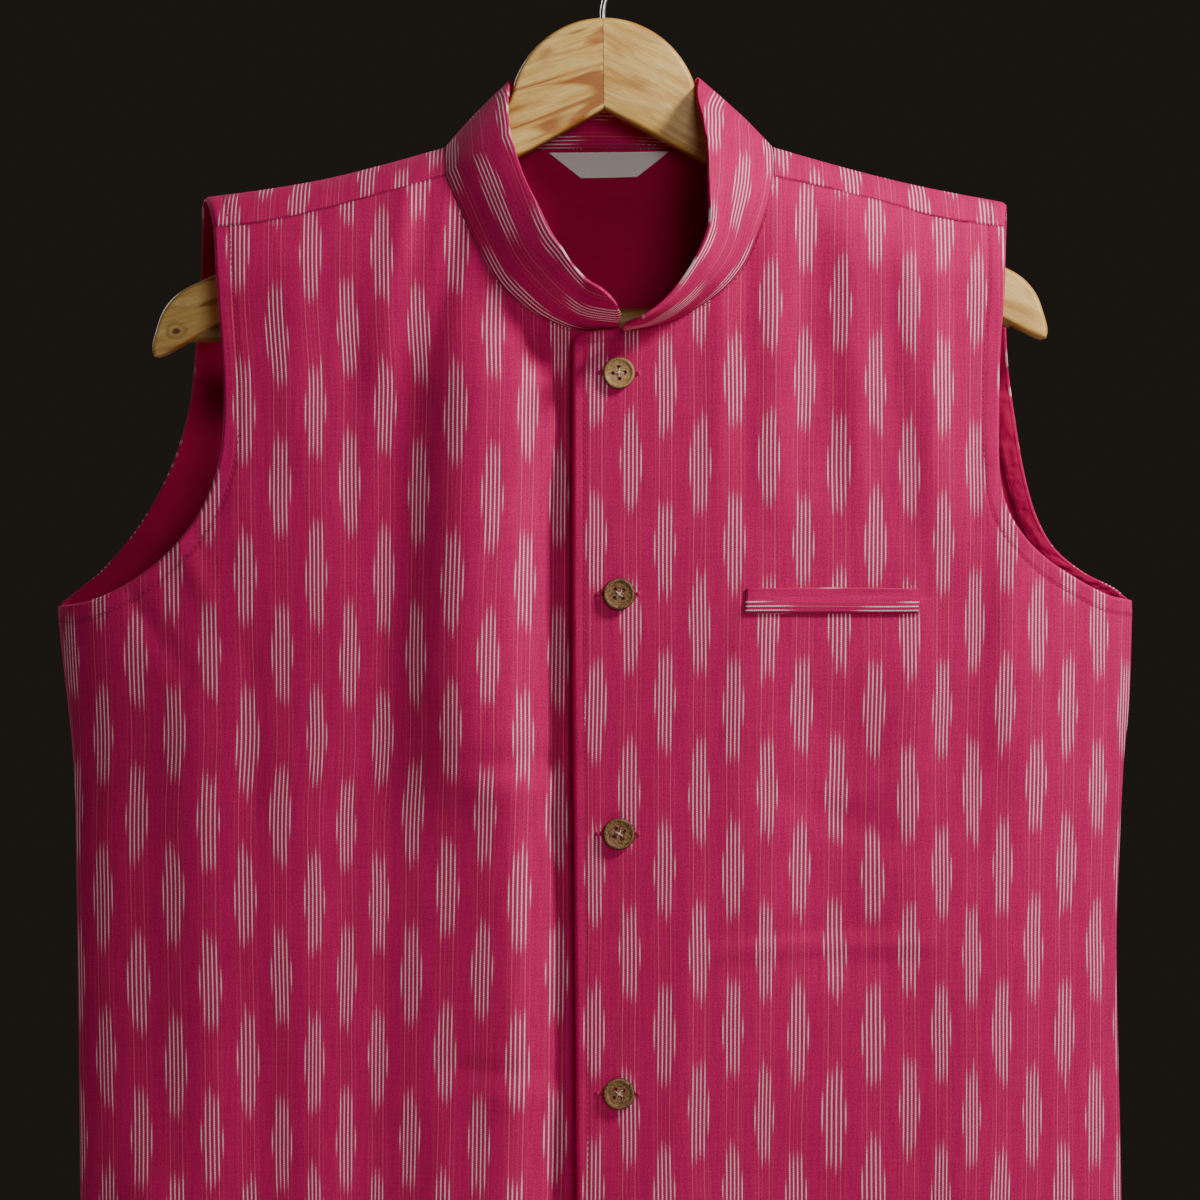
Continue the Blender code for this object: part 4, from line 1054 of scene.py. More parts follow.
def neck_stations():
    """Places along the neckline from the wearer's right front round the back to the left."""
    stations = []
    for side, surface in (("left", under_front_y), ("right", upper_front_y)):
        half = []
        for share in early(52, 1.15):
            x, z = NECK_RUN[side](share)
            half.append((side, share, Vector((x, surface(x, z), z))))
        column = STRAP_COLUMNS if side == "right" else BACK_COLUMNS - STRAP_COLUMNS
        for n in range(20):
            half.append((side, 1 + n / 20, Vector(strap_point(column, 1 - n / 20))))
        middle = BACK_NECK_COLUMNS // 2
        for n in range(5 * middle + 1):
            i = column + n / 5 if side == "right" else column - n / 5
            half.append((side, 2 + n / 5 / middle, Vector(back_point(i, BODY_ROWS + ARMHOLE_ROWS))))
        stations.append(half)
    wearers_right, wearers_left = stations
    return wearers_right + wearers_left[-2::-1]


def make_collar():
    stations = neck_stations()
    last = len(stations) - 1
    bases = [place for _, _, place in stations]
    run = [0.0]
    for a, b in zip(bases, bases[1:]):
        run.append(run[-1] + (b - a).length)
    centre = sum(bases, Vector()) / len(bases)
    rows = 16

    def place(i, j):
        side, station, base = stations[i]
        lean = Vector(LEAN_RUN[side](station))
        near_end = min(run[i], run[-1] - run[i])
        inset = max(COLLAR_END_R - near_end, 0.0)
        cut = COLLAR_END_R - math.sqrt(COLLAR_END_R**2 - inset**2)
        up = lean.normalized()
        ahead = bases[min(i + 3, last)] - bases[max(i - 3, 0)]
        outward = ahead.normalized().cross(up).normalized()
        if outward.dot(base - centre) < 0:
            outward = -outward
        share = j / rows
        swell = COLLAR_SWELL * math.sin(share * math.pi)
        swell += 0.35 * noise.noise(Vector((run[i] * 0.035, share * 1.5, 4.0)))
        base_set = SET_RUN(station)[0]
        rise = lerp(base_set - 0.8, lean.length - cut, share)
        return base + up * rise + outward * swell

    sheet = Sheet(last, rows, place)
    height = {}
    for vert, (i, j) in sheet.cell.items():
        height[vert] = (vert.co - sheet.point[i, 0].co).length / MM
    rows_run = Run(COLLAR_ROWS)

    def laid(vert):
        along, column = rows_run(run[sheet.cell[vert][0]])
        return height[vert] - column, along

    sheet.weave_map(laid)
    sheet.leave_unsewn("stitch")
    mark_seams(sheet, [sheet.line([(i, 0) for i in range(last + 1)])])
    guides = [sheet.guide([(i, 0) for i in range(last, last // 2, -1)], (0, 3), COLLAR_STITCH)]
    obj = sheet.finish("collar_band", [IKAT], COLLAR_CLOTH, rim=0.7)
    STITCH_ROWS[obj.name] = guides
    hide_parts("collar")


# ---- Pieces that lie on a panel --------------------------------------------------------------


def tree_on(obj):
    bpy.context.view_layer.update()
    return BVHTree.FromObject(obj, bpy.context.evaluated_depsgraph_get())


def lay_on(tree, x, z):
    """The depth at which a line from the front, along Y, first meets a piece."""
    start = Vector((x, -200.0, z)) * MM
    return tree.ray_cast(start, Vector((0.0, 1.0, 0.0)))[0].y / MM


def make_welt(front):
    columns, rows = 60, 12

    def place(i, j):
        across, up = i / columns, j / rows
        x = lerp(*WELT_X, across) + lerp(-0.4, 0.3, up)
        z = lerp(*WELT_Z, up) + 0.5 * math.sin(across * math.pi) * up
        edge = min(across, 1 - across) * (WELT_X[1] - WELT_X[0])
        lift = WELT_T / 2 + 0.08 + 0.5 * smooth(up * 3) * smooth(edge / 6)
        return (x, lay_on(front, x, z) - lift, z)

    sheet = Sheet(columns, rows, place)
    sheet.weave_map(lambda vert: (vert.co.z / MM - WELT_START[1], vert.co.x / MM - WELT_START[0]))
    sheet.leave_unsewn("stitch")
    ends = [sheet.line([(i, j) for j in range(rows + 1)]) for i in (0, columns)]
    mark_seams(sheet, [*ends, sheet.line([(i, 0) for i in range(columns + 1)])])
    obj = sheet.finish("pocket_welt_cloth", [IKAT], WELT_T, rim=0.55)
    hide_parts("pocket_welt")


def make_label(lining):
    """A blank tab of tape, its top edge caught in the collar's seam."""
    columns, rows = 48, 14

    def place(i, j):
        up = j / rows
        x = LABEL_X + lerp(-1, 1, i / columns) * lerp(LABEL_FOOT_HALF, LABEL_TOP_HALF, up)
        z = LABEL_TOP_Z - LABEL_HEIGHT * (1 - up) + 0.6 * (i / columns - 0.5)
        start = Vector((x, 0.0, z)) * MM
        y = lining.ray_cast(start, Vector((0.0, 1.0, 0.0)))[0].y / MM
        curl = 0.7 * (1 - up) ** 2 * (0.4 + abs(2 * i / columns - 1))
        return (x, y - 0.45 - curl, z)

    sheet = Sheet(columns, rows, place)
    sheet.weave_map(lambda vert: (vert.co.x / MM, vert.co.z / MM))
    obj = sheet.finish("neck_tape", [TAPE], LABEL_T, rim=0.2)
    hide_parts("neck_label")


# ---- Buttons and sewing ----------------------------------------------------------------------


def turned_disc(profile, steps):
    """A full turn of a profile (radius, height) about Y, its height towards the front."""
    bm = bmesh.new()
    verts = [bm.verts.new((radius * MM, -height * MM, 0.0)) for radius, height in profile]
    edges = [bm.edges.new(pair) for pair in zip(verts, verts[1:])]
    bmesh.ops.spin(
        bm, geom=verts + edges, cent=(0, 0, 0), axis=(0, 1, 0), angle=math.tau, steps=steps, use_merge=True
    )
    bmesh.ops.remove_doubles(bm, verts=bm.verts, dist=0.00001)
    bmesh.ops.recalc_face_normals(bm, faces=bm.faces)
    return bm


def settle(obj):
    """Takes an object away and gives its shape, with its modifiers or curve applied."""
    bpy.context.view_layer.update()
    mesh = bpy.data.meshes.new_from_object(obj.evaluated_get(bpy.context.evaluated_depsgraph_get()))
    mesh.transform(obj.matrix_world)
    bm = bmesh.new()
    bm.from_mesh(mesh)
    bpy.data.objects.remove(obj)
    return bm


def bore(bm, cutter_bm):
    """Cuts holes through a shape."""
    made = []
    for shape in (bm, cutter_bm):
        mesh = bpy.data.meshes.new("shape")
        shape.to_mesh(mesh)
        shape.free()
        obj = bpy.data.objects.new("shape", mesh)
        bpy.context.scene.collection.objects.link(obj)
        made.append(obj)
    body, cutter = made
    cut = body.modifiers.new("cut", "BOOLEAN")
    cut.operation = "DIFFERENCE"
    cut.object = cutter
    result = settle(body)
    bpy.data.objects.remove(cutter)
    return result


def hole_pins(turn):
    pins = bmesh.new()
    lie = Matrix.Rotation(math.pi / 2, 4, "X")
    for dx in (-BUTTON_HOLE_OFF, BUTTON_HOLE_OFF):
        for dz in (-BUTTON_HOLE_OFF, BUTTON_HOLE_OFF):
            place = Matrix.Rotation(turn, 4, "Y") @ Matrix.Translation(Vector((dx, 0, dz)) * MM)
            bmesh.ops.create_cone(
                pins, cap_ends=True, segments=16, radius1=BUTTON_HOLE_R * MM,
                radius2=BUTTON_HOLE_R * MM, depth=12 * MM, matrix=place @ lie,
            )
    return pins


def make_button(n, turn, finish):
    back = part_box(f"button_{n}")[1][1] / MM
    bm = bore(turned_disc(BUTTON_PROFILE, 48), hole_pins(turn))
    bmesh.ops.translate(bm, vec=Vector((BUTTON_X, back, BUTTON_Z[n - 1])) * MM, verts=bm.verts)
    obj = make_piece(f"shell_button_{n}", bm, [finish])
    obj.data.set_sharp_from_angle(angle=math.radians(45))
    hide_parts(f"button_{n}")
    return back


def tube(name, lines, radius, closed=False, resolution=3):
    """Round cord along each line of points, as one mesh."""
    curve = bpy.data.curves.new(name, "CURVE")
    curve.dimensions = "3D"
    curve.bevel_depth = radius * MM
    curve.bevel_resolution = resolution
    curve.use_fill_caps = True
    for line in lines:
        spline = curve.splines.new("POLY")
        spline.points.add(len(line) - 1)
        spline.use_cyclic_u = closed
        for point, at in zip(spline.points, line):
            point.co = (*(Vector(at) * MM), 1.0)
    obj = bpy.data.objects.new(name, curve)
    bpy.context.scene.collection.objects.link(obj)
    return settle(obj)


def make_button_threads(backs, turns):
    """Cream thread, crossed through the four holes of each button and knotted in the middle."""
    lines = []
    for back, turn, z in zip(backs, turns, BUTTON_Z):
        for corner in range(2):
            angle = turn + math.pi * (0.25 + 0.5 * corner)
            line = []
            for n in range(13):
                way = lerp(-1, 1, n / 12)
                reach = way * BUTTON_HOLE_OFF * 1.3
                rise = 2.3 + 0.12 * corner - 2.4 * max(abs(way) - 0.78, 0.0) / 0.22
                line.append((BUTTON_X + reach * math.cos(angle), back - rise, z + reach * math.sin(angle)))
            lines.append(line)
        for n in range(5):
            angle = turn + 0.3 + n * math.pi / 5
            x, up = 0.75 * math.cos(angle), 0.75 * math.sin(angle)
            y = back - 2.62 - 0.05 * n
            lines.append([(BUTTON_X - x, y + 0.2, z - up), (BUTTON_X, y, z), (BUTTON_X + x, y + 0.2, z + up)])
    obj = make_piece("button_threads", tube("thread", lines, THREAD_R, resolution=2), [CREAM_THREAD])


def make_buttonholes(front):
    """Each buttonhole's worked edge, with a small bar at both ends."""
    rings = []
    bars = bmesh.new()
    middle, half = sum(BUTTONHOLE_X) / 2, (BUTTONHOLE_X[1] - BUTTONHOLE_X[0]) / 2
    bar_size = Matrix.Diagonal((*(Vector(BUTTONHOLE_BAR) * MM), 1.0))
    for z in BUTTON_Z:
        ring = []
        for n in range(64):
            angle = math.tau * n / 64
            x = middle + (half - 0.6) * math.copysign(abs(math.cos(angle)) ** 0.35, math.cos(angle))
            up = z + 0.85 * math.copysign(abs(math.sin(angle)) ** 0.8, math.sin(angle))
            ring.append((x, lay_on(front, x, up) - 0.15, up))
        rings.append(ring)
        for x in BUTTONHOLE_X:
            place = Matrix.Translation(Vector((x, lay_on(front, x, z) - 0.25, z)) * MM)
            bmesh.ops.create_icosphere(bars, subdivisions=2, radius=1.0, matrix=place @ bar_size)
    obj = make_piece("buttonhole_edges", tube("edge", rings, BUTTONHOLE_R, closed=True), [SEWING])
    obj = make_piece("buttonhole_bars", bars, [SEWING])


def make_topstitching(piece, guides):
    """Small stitches, sunk into the cloth along each guide line."""
    bm = bmesh.new()
    tree = tree_on(piece)
    size = Matrix.Diagonal((*(Vector(STITCH_SIZE) * MM), 1.0))
    for guide in guides:
        marks = [0.0]
        for a, b in zip(guide, guide[1:]):
            marks.append(marks[-1] + (b - a).length / MM)
        count = int(marks[-1] / STITCH_PITCH)
        n = 0
        for k in range(count):
            way = (k + 0.5) * STITCH_PITCH
            while marks[n + 1] < way:
                n += 1
            share = (way - marks[n]) / max(marks[n + 1] - marks[n], 1e-6)
            spot, normal, _, _ = tree.find_nearest(guide[n].lerp(guide[n + 1], share))
            ahead = (guide[n + 1] - guide[n]).normalized()
            ahead = (ahead - normal * ahead.dot(normal)).normalized()
            turn = Matrix((ahead, normal.cross(ahead), normal)).transposed().to_4x4()
            place = Matrix.Translation(spot) @ turn @ size
            bmesh.ops.create_icosphere(bm, subdivisions=1, radius=1.0, matrix=place)
    obj = make_piece(f"topstitching_on_{piece.name}", bm, [SEWING])
    return obj


# ---- Hanger ----------------------------------------------------------------------------------


def arm_outline(side):
    """Half of the hanger's outline, from the middle of its hump round to its underside."""
    reach, tip_z = ARM_REACH[side], TIP_DROP[side]
    points = [(JOINT_GAP, HUMP_TOP_Z)]
    for n in range(1, 27):
        angle = math.radians(lerp(90, 21, n / 26))
        points.append((HUMP_HALF * math.cos(angle), HUMP_TOP_Z - HUMP_R + HUMP_R * math.sin(angle)))
    hollow = path([points[-1], *ARM_HOLLOW, *ARM_SEAT[side]])
    points += [hollow(n / 14) for n in range(1, 15)]
    nose = path([(reach - inward, tip_z + upward) for inward, upward in ARM_NOSE])
    points += [nose(n / 30) for n in range(31)]
    points.append((JOINT_GAP, APEX_Z))
    return points


def round_bar(radius):
    """A round bar from end to end of the trouser bar, at its slope."""
    start, end = (Vector((x, 0.0, BAR_Z + x * BAR_TILT)) * MM for x in BAR_ENDS)
    turn = Vector((0, 0, 1)).rotation_difference(end - start).to_matrix().to_4x4()
    bm = bmesh.new()
    bmesh.ops.create_cone(
        bm, cap_ends=True, segments=48, radius1=radius * MM, radius2=radius * MM,
        depth=(end - start).length, matrix=Matrix.Translation((start + end) / 2) @ turn,
    )
    return bm


def make_hanger_half(side, finish, node):
    sign = -1 if side == "left" else 1
    bm = bmesh.new()
    verts = [bm.verts.new((sign * x * MM, -WOOD_HALF * MM, z * MM)) for x, z in arm_outline(side)]
    face = bm.faces.new(verts)
    grown = bmesh.ops.extrude_face_region(bm, geom=[face])
    moved = [item for item in grown["geom"] if isinstance(item, bmesh.types.BMVert)]
    bmesh.ops.translate(bm, vec=(0, 2 * WOOD_HALF * MM, 0), verts=moved)
    bmesh.ops.recalc_face_normals(bm, faces=bm.faces)
    rims = []
    for edge in bm.edges:
        a, b = edge.verts
        joint = abs(a.co.x) < MM and abs(b.co.x) < MM
        if abs(a.co.y - b.co.y) < 1e-6 and not joint:
            rims.append(edge)
    bmesh.ops.bevel(
        bm, geom=rims, offset=WOOD_BEVEL * MM, offset_type="OFFSET", segments=4, profile=0.5,
        affect="EDGES", clamp_overlap=True, material=-1,
    )
    pivot = Vector((0, 0, HUMP_TOP_Z)) * MM
    for vert in bm.verts:
        off = vert.co - pivot
        vert.co = pivot + Vector((off.x - off.z * WOOD_TILT, off.y, off.z + off.x * WOOD_TILT))
    bm = bore(bm, round_bar(BAR_R + BAR_CLEAR))
    obj = make_piece(f"wood_{node}", bm, [finish])
    obj.data.set_sharp_from_angle(angle=math.radians(32))
    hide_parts(node)


def make_bar():
    obj = make_piece("wood_hanger_bar", round_bar(BAR_R), [BAR_WOOD])
    obj.data.set_sharp_from_angle(angle=math.radians(40))
    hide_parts("hanger_bar")


def make_hook():
    """Up the shank, out round the bow and over the rod, to a short downturned end."""
    centre_z = WIRE_R - HOOK_R
    points = [(0.0, 0.0, HOOK_FOOT_Z), (0.0, 0.0, -60.0), (0.0, 0.0, -54.0)]
    bend = path([(0.0, -54.0), (0.3, -51.0), (1.6, -46.4), (5.0, -41.5), (10.3, -34.5)])
    points += [(x, 0.0, z) for x, z in (bend(n / 12) for n in range(1, 12))]
    for n in range(57):
        angle = math.radians(lerp(-58, 205, n / 56))
        points.append((HOOK_R * math.cos(angle), 0.0, centre_z + HOOK_R * math.sin(angle)))
    obj = make_piece("wire_hook", tube("hook", [points], WIRE_R, resolution=6), [STEEL])
    obj.data.set_sharp_from_angle(angle=math.radians(60))
    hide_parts("hook")


# ---- Finishes --------------------------------------------------------------------------------


class Value:
    """A number worked out over a surface, so that sums on it read as sums."""

    def __init__(self, finish, socket):
        self.finish, self.socket = finish, socket

    def math(self, operation, *others):
        return self.finish.math(operation, self, *others)

    def __add__(self, other):
        return self.math("ADD", other)

    def __sub__(self, other):
        return self.math("SUBTRACT", other)

    def __mul__(self, other):
        return self.math("MULTIPLY", other)

    def __truediv__(self, other):
        return self.math("DIVIDE", other)

    def __mod__(self, other):
        return self.math("FLOORED_MODULO", other)

    def __rsub__(self, other):
        return self.finish.math("SUBTRACT", other, self)

    __radd__ = __add__
    __rmul__ = __mul__

    def __abs__(self):
        return self.math("ABSOLUTE")

    def floor(self):
        return self.math("FLOOR")

    def wave(self):
        return self.math("SINE")

    def under(self, other):
        return self.math("LESS_THAN", other)

    def rise(self, start, end):
        """0 at start, 1 at end, smooth between; start may be the larger."""
        low, high, flip = (start, end, False) if start < end else (end, start, True)
        settings = {"interpolation_type": "SMOOTHSTEP"}
        sockets = {"Value": self, "From Min": low, "From Max": high}
        sockets.update({"To Min": float(flip), "To Max": float(not flip)})
        return self.finish.node("ShaderNodeMapRange", settings, sockets)


class Finish:
    """A material under way: one shader, fed by a few nodes."""

    def __init__(self, name, **uniform):
        self.material = bpy.data.materials.new(name)
        self.material.use_nodes = True
        self.tree = self.material.node_tree
        self.shader = self.tree.nodes["Principled BSDF"]
        for socket, value in uniform.items():
            self.shader.inputs[socket.replace("_", " ")].default_value = value

    def node(self, kind, settings=None, sockets=None, out=0):
        node = self.tree.nodes.new(kind)
        for name, value in (settings or {}).items():
            setattr(node, name, value)
        for name, value in (sockets or {}).items():
            if isinstance(value, Value):
                self.tree.links.new(value.socket, node.inputs[name])
            else:
                node.inputs[name].default_value = value
        return Value(self, node.outputs[out])

    def math(self, operation, *values):
        return self.node("ShaderNodeMath", {"operation": operation}, dict(enumerate(values)))

    def threads(self):
        """Millimetres across and along the threads."""
        uv = self.node("ShaderNodeUVMap", {"uv_map": "cloth"})
        across = self.node("ShaderNodeSeparateXYZ", None, {0: uv}, 0)
        along = self.node("ShaderNodeSeparateXYZ", None, {0: uv}, 1)
        return across * 1000.0, along * 1000.0

    def place(self, turn=(0.0, 0.0, 0.0), stretch=(1.0, 1.0, 1.0), centre=(0.0, 0.0, 0.0)):
        """Object coordinates in millimetres, turned, stretched and centred for this piece."""
        sockets = {
            "Vector": self.node("ShaderNodeTexCoord", None, None, "Object"), "Rotation": turn,
            "Scale": tuple(MM * size for size in stretch), "Location": tuple(MM * way for way in centre),
        }
        return self.node("ShaderNodeMapping", {"vector_type": "TEXTURE"}, sockets)

    def facing(self):
        """-1 where the surface faces the front, 1 where it faces the back."""
        side = self.node("ShaderNodeNewGeometry", None, None, "Normal")
        return self.node("ShaderNodeSeparateXYZ", None, {0: side}, 1)

    def point(self, x, y, z=0.0):
        return self.node("ShaderNodeCombineXYZ", None, {0: x, 1: y, 2: z})

    def noise(self, at, scale=1.0, detail=2.0, roughness=0.5, distortion=0.0):
        sockets = {"Vector": at, "Scale": scale, "Detail": detail}
        sockets.update({"Roughness": roughness, "Distortion": distortion})
        return self.node("ShaderNodeTexNoise", None, sockets)

    def luck(self, x, y, z=0.0):
        """An even chance from 0 to 1 for each whole place."""
        settings = {"noise_dimensions": "3D"}
        return self.node("ShaderNodeTexWhiteNoise", settings, {"Vector": self.point(x, y, z)})

    def attribute(self, name):
        return self.node("ShaderNodeAttribute", {"attribute_name": name}, None, "Fac")

    def blend(self, share, first, second):
        return self.node("ShaderNodeMix", {"data_type": "RGBA"}, {0: share, 6: first, 7: second}, 2)

    def shade(self, colour, amount):
        """Multiplies a colour by a number."""
        settings = {"data_type": "RGBA", "blend_type": "MULTIPLY"}
        grey = self.point(amount, amount, amount)
        return self.node("ShaderNodeMix", settings, {0: 1.0, 6: colour, 7: grey}, 2)

    def bump(self, height, distance, finer=None):
        """Height from 0 to 1 over this distance in millimetres, over a finer relief if given."""
        sockets = {"Height": height, "Distance": distance * MM, "Strength": 1.0}
        if finer:
            sockets["Normal"] = finer
        return self.node("ShaderNodeBump", None, sockets)

    def done(self, **varying):
        for name, value in varying.items():
            self.tree.links.new(value.socket, self.shader.inputs[name.replace("_", " ")])
        return self.material


def paint(red, green, blue):
    """A colour as mixed on a card, 0 to 255."""
    shares = [level / 255 for level in (red, green, blue)]
    return (*[((s + 0.055) / 1.055) ** 2.4 if s > 0.04 else s / 12.92 for s in shares], 1.0)


def make_ikat():
    """Magenta handloom cotton; six pale tied threads side by side make feathered lens shapes."""
    cloth = Finish(
        "magenta cotton ikat", Sheen_Weight=0.06, Sheen_Roughness=0.5,
        Sheen_Tint=paint(240, 120, 170), Specular_IOR_Level=0.15,
    )
    across, along = cloth.threads()
    stray = cloth.noise(cloth.point(across * 0.02, along * 0.012), detail=1.0) - 0.5
    off = across + stray * 2.2
    column = (off / IKAT_PITCH + 0.5).floor()
    beside = off - column * IKAT_PITCH
    drift = cloth.noise(cloth.point(column * 0.37, along * 0.006), detail=0.0) - 0.5
    step = along / IKAT_REPEAT + (column % 2.0) * 0.5 + drift * 0.16
    row = (step + 0.5).floor()
    chance = cloth.luck(column, row) - 0.5
    up = (step - row) * IKAT_REPEAT + chance * 5.0
    thread = (beside / THREAD_STEP).floor() + 0.5
    rank = abs(thread)
    aside = abs(beside - thread * THREAD_STEP)
    own = cloth.luck(column * 8.0 + thread, row, 3.0) - 0.5
    shift = cloth.luck(column * 8.0 + thread, row, 9.0) - 0.5
    half = 24.0 - 14.0 * rank.rise(1.9, 2.1) + own * 5.5 - rank * 1.4
    fray = cloth.noise(cloth.point(across * 2.4, along * 0.7), detail=2.0) - 0.5
    reach = half - abs(up + shift * 4.5) + fray * 7.0
    known = rank.under(2.9)
    knots = ((along / BEAD_PITCH + thread * 0.5) * math.tau).wave() * 0.5 + 0.5
    body = (aside - 0.11 * knots).rise(0.35, 0.15)
    tied = reach.rise(-5.0, 6.0) * body * known * (0.6 + 0.4 * knots)
    line = aside.rise(0.36, 0.16) * known * (0.5 + 0.5 * knots)
    outer_line = rank.rise(1.0, 1.2) * rank.rise(2.2, 2.0)
    line = line * (0.20 + 0.50 * outer_line)
    speck = cloth.noise(cloth.point(across * 1.15, along * 1.3), detail=3.0, roughness=0.75)
    warp = cloth.noise(cloth.point(across * 0.9, along * 0.04), detail=2.0)
    weft = cloth.noise(cloth.point(across * 0.03, along * 0.8, 5.0), detail=2.0)
    cloudy = cloth.noise(cloth.point(across * 0.03, along * 0.03, 8.0), detail=2.0)
    tone = -0.20 + speck * 1.50 + warp * 0.50 + weft * 0.22 + cloudy * 0.16
    ground = cloth.shade(paint(*MAGENTA), tone)
    pale = cloth.blend(speck.rise(0.3, 0.7), paint(*THREAD_PINK), paint(*THREAD_WHITE))
    colour = cloth.blend(line, ground, paint(*LINE_PINK))
    colour = cloth.blend(tied, colour, pale)
    stitch = abs(cloth.attribute("stitch"))
    stitch_dip_and_shade = stitch.rise(2.2, 0.0)
    closed = cloth.attribute("seam").rise(1.6, 0.0)
    # Painted shade: the colour is darkened along the rows of stitches, and more along the seams (closed), as
    # the shade in their dips.
    colour = cloth.shade(colour, 1.0 - 0.16 * stitch_dip_and_shade - 0.30 * closed)
    over = (across / WARP_PITCH * math.tau).wave() * (along / WEFT_PITCH * math.tau).wave()
    weave = over * 0.25 + 0.4 + speck * 0.5 + tied * 0.2
    pucker = cloth.noise(cloth.point(across * 0.05, along * 0.16, 2.0), detail=1.0)
    pull = stitch_dip_and_shade * 0.5 + stitch.rise(9.0, 0.0) * pucker * 0.5
    relief = cloth.bump(1.0 - pull - closed, 0.5, cloth.bump(weave, 0.22))
    return cloth.done(Base_Color=colour, Roughness=0.80 + speck * 0.15, Normal=relief)


def make_lining():
    """Plain cambric, thinner and smoother than the ikat."""
    cloth = Finish(
        "plain magenta lining", Sheen_Weight=0.04, Sheen_Tint=paint(240, 120, 160), Specular_IOR_Level=0.15,
    )
    across, along = cloth.threads()
    speck = cloth.noise(cloth.point(across * 2.2, along * 2.2), detail=3.0, roughness=0.65)
    slub = cloth.noise(cloth.point(across * 0.04, along * 0.9), detail=2.0)
    soft = cloth.noise(cloth.point(across * 0.03, along * 0.03, 4.0), detail=2.0)
    colour = cloth.shade(paint(*LINING_RED), 0.62 + speck * 0.32 + slub * 0.16 + soft * 0.3)
    stitch_dip_and_shade = abs(cloth.attribute("stitch")).rise(1.3, 0.0)
    # Painted shade: darker along the rows of stitches, as the shade in their dips.
    colour = cloth.shade(colour, 1.0 - 0.25 * stitch_dip_and_shade)
    over = (across / LINING_PITCH * math.tau).wave() * (along / LINING_PITCH * math.tau).wave()
    weave = cloth.bump(over * 0.25 + 0.5 + speck * 0.6 - stitch_dip_and_shade, 0.14)
    return cloth.done(Base_Color=colour, Roughness=0.78 + speck * 0.15, Normal=weave)


def make_thread(name, dark, light, twist_size, relief, **uniform):
    """Sewing thread, its colour uneven with its twist."""
    thread = Finish(name, **uniform)
    twist = thread.noise(thread.place(), twist_size, 2.0)
    colour = thread.blend(twist, paint(*dark), paint(*light))
    return thread.done(Base_Color=colour, Roughness=0.6 + twist * 0.2, Normal=thread.bump(twist, relief))


def make_tape():
    """White woven tape, left blank."""
    tape = Finish("white woven tape", Sheen_Weight=0.15)
    across, along = tape.threads()
    rib = (along / TAPE_PITCH * math.tau).wave() * 0.5 + 0.5
    speck = tape.noise(tape.point(across * 1.6, along * 1.6), detail=3.0, roughness=0.6)
    colour = tape.blend(speck.rise(0.25, 0.75), paint(246, 243, 237), paint(255, 254, 250))
    relief = tape.bump(rib * 0.5 + speck * 0.5, 0.12)
    return tape.done(Base_Color=colour, Roughness=0.7 + speck * 0.2, Normal=relief)


def make_shell(name, light, dark, rim, crackle):
    """Coconut shell, turned and lightly polished: fine flecks and vein-like cracks, with its rounded edge and
    back darkened as painted shade.
    """
    shell = Finish(name, Specular_IOR_Level=0.4)
    at = shell.place()
    fleck = shell.noise(at, 0.9, 4.0, 0.7)
    grain = shell.noise(shell.place(stretch=(1.0, 1.0, 0.25)), 0.7, 3.0, 0.6, 0.6)
    settings = {"feature": "DISTANCE_TO_EDGE"}
    veins = shell.node("ShaderNodeTexVoronoi", settings, {"Vector": at, "Scale": 0.55}, "Distance")
    cracks = veins.rise(0.09, 0.02) * crackle
    colour = shell.blend(fleck.rise(0.35, 0.68), paint(*dark), paint(*light))
    colour = shell.blend(grain.rise(0.52, 0.75) * 0.45, colour, paint(*light))
    colour = shell.blend(cracks, colour, paint(*rim))
    # Painted shade: where the surface turns from the front, round the edge and on the back, it takes the dark
    # rim colour.
    colour = shell.blend(shell.facing().rise(-0.93, -0.5) * 0.85, colour, paint(*rim))
    height = fleck * 0.6 + grain * 0.4 - cracks * 0.4
    return shell.done(Base_Color=colour, Roughness=0.42 + fleck * 0.25, Normal=shell.bump(height, 0.25))


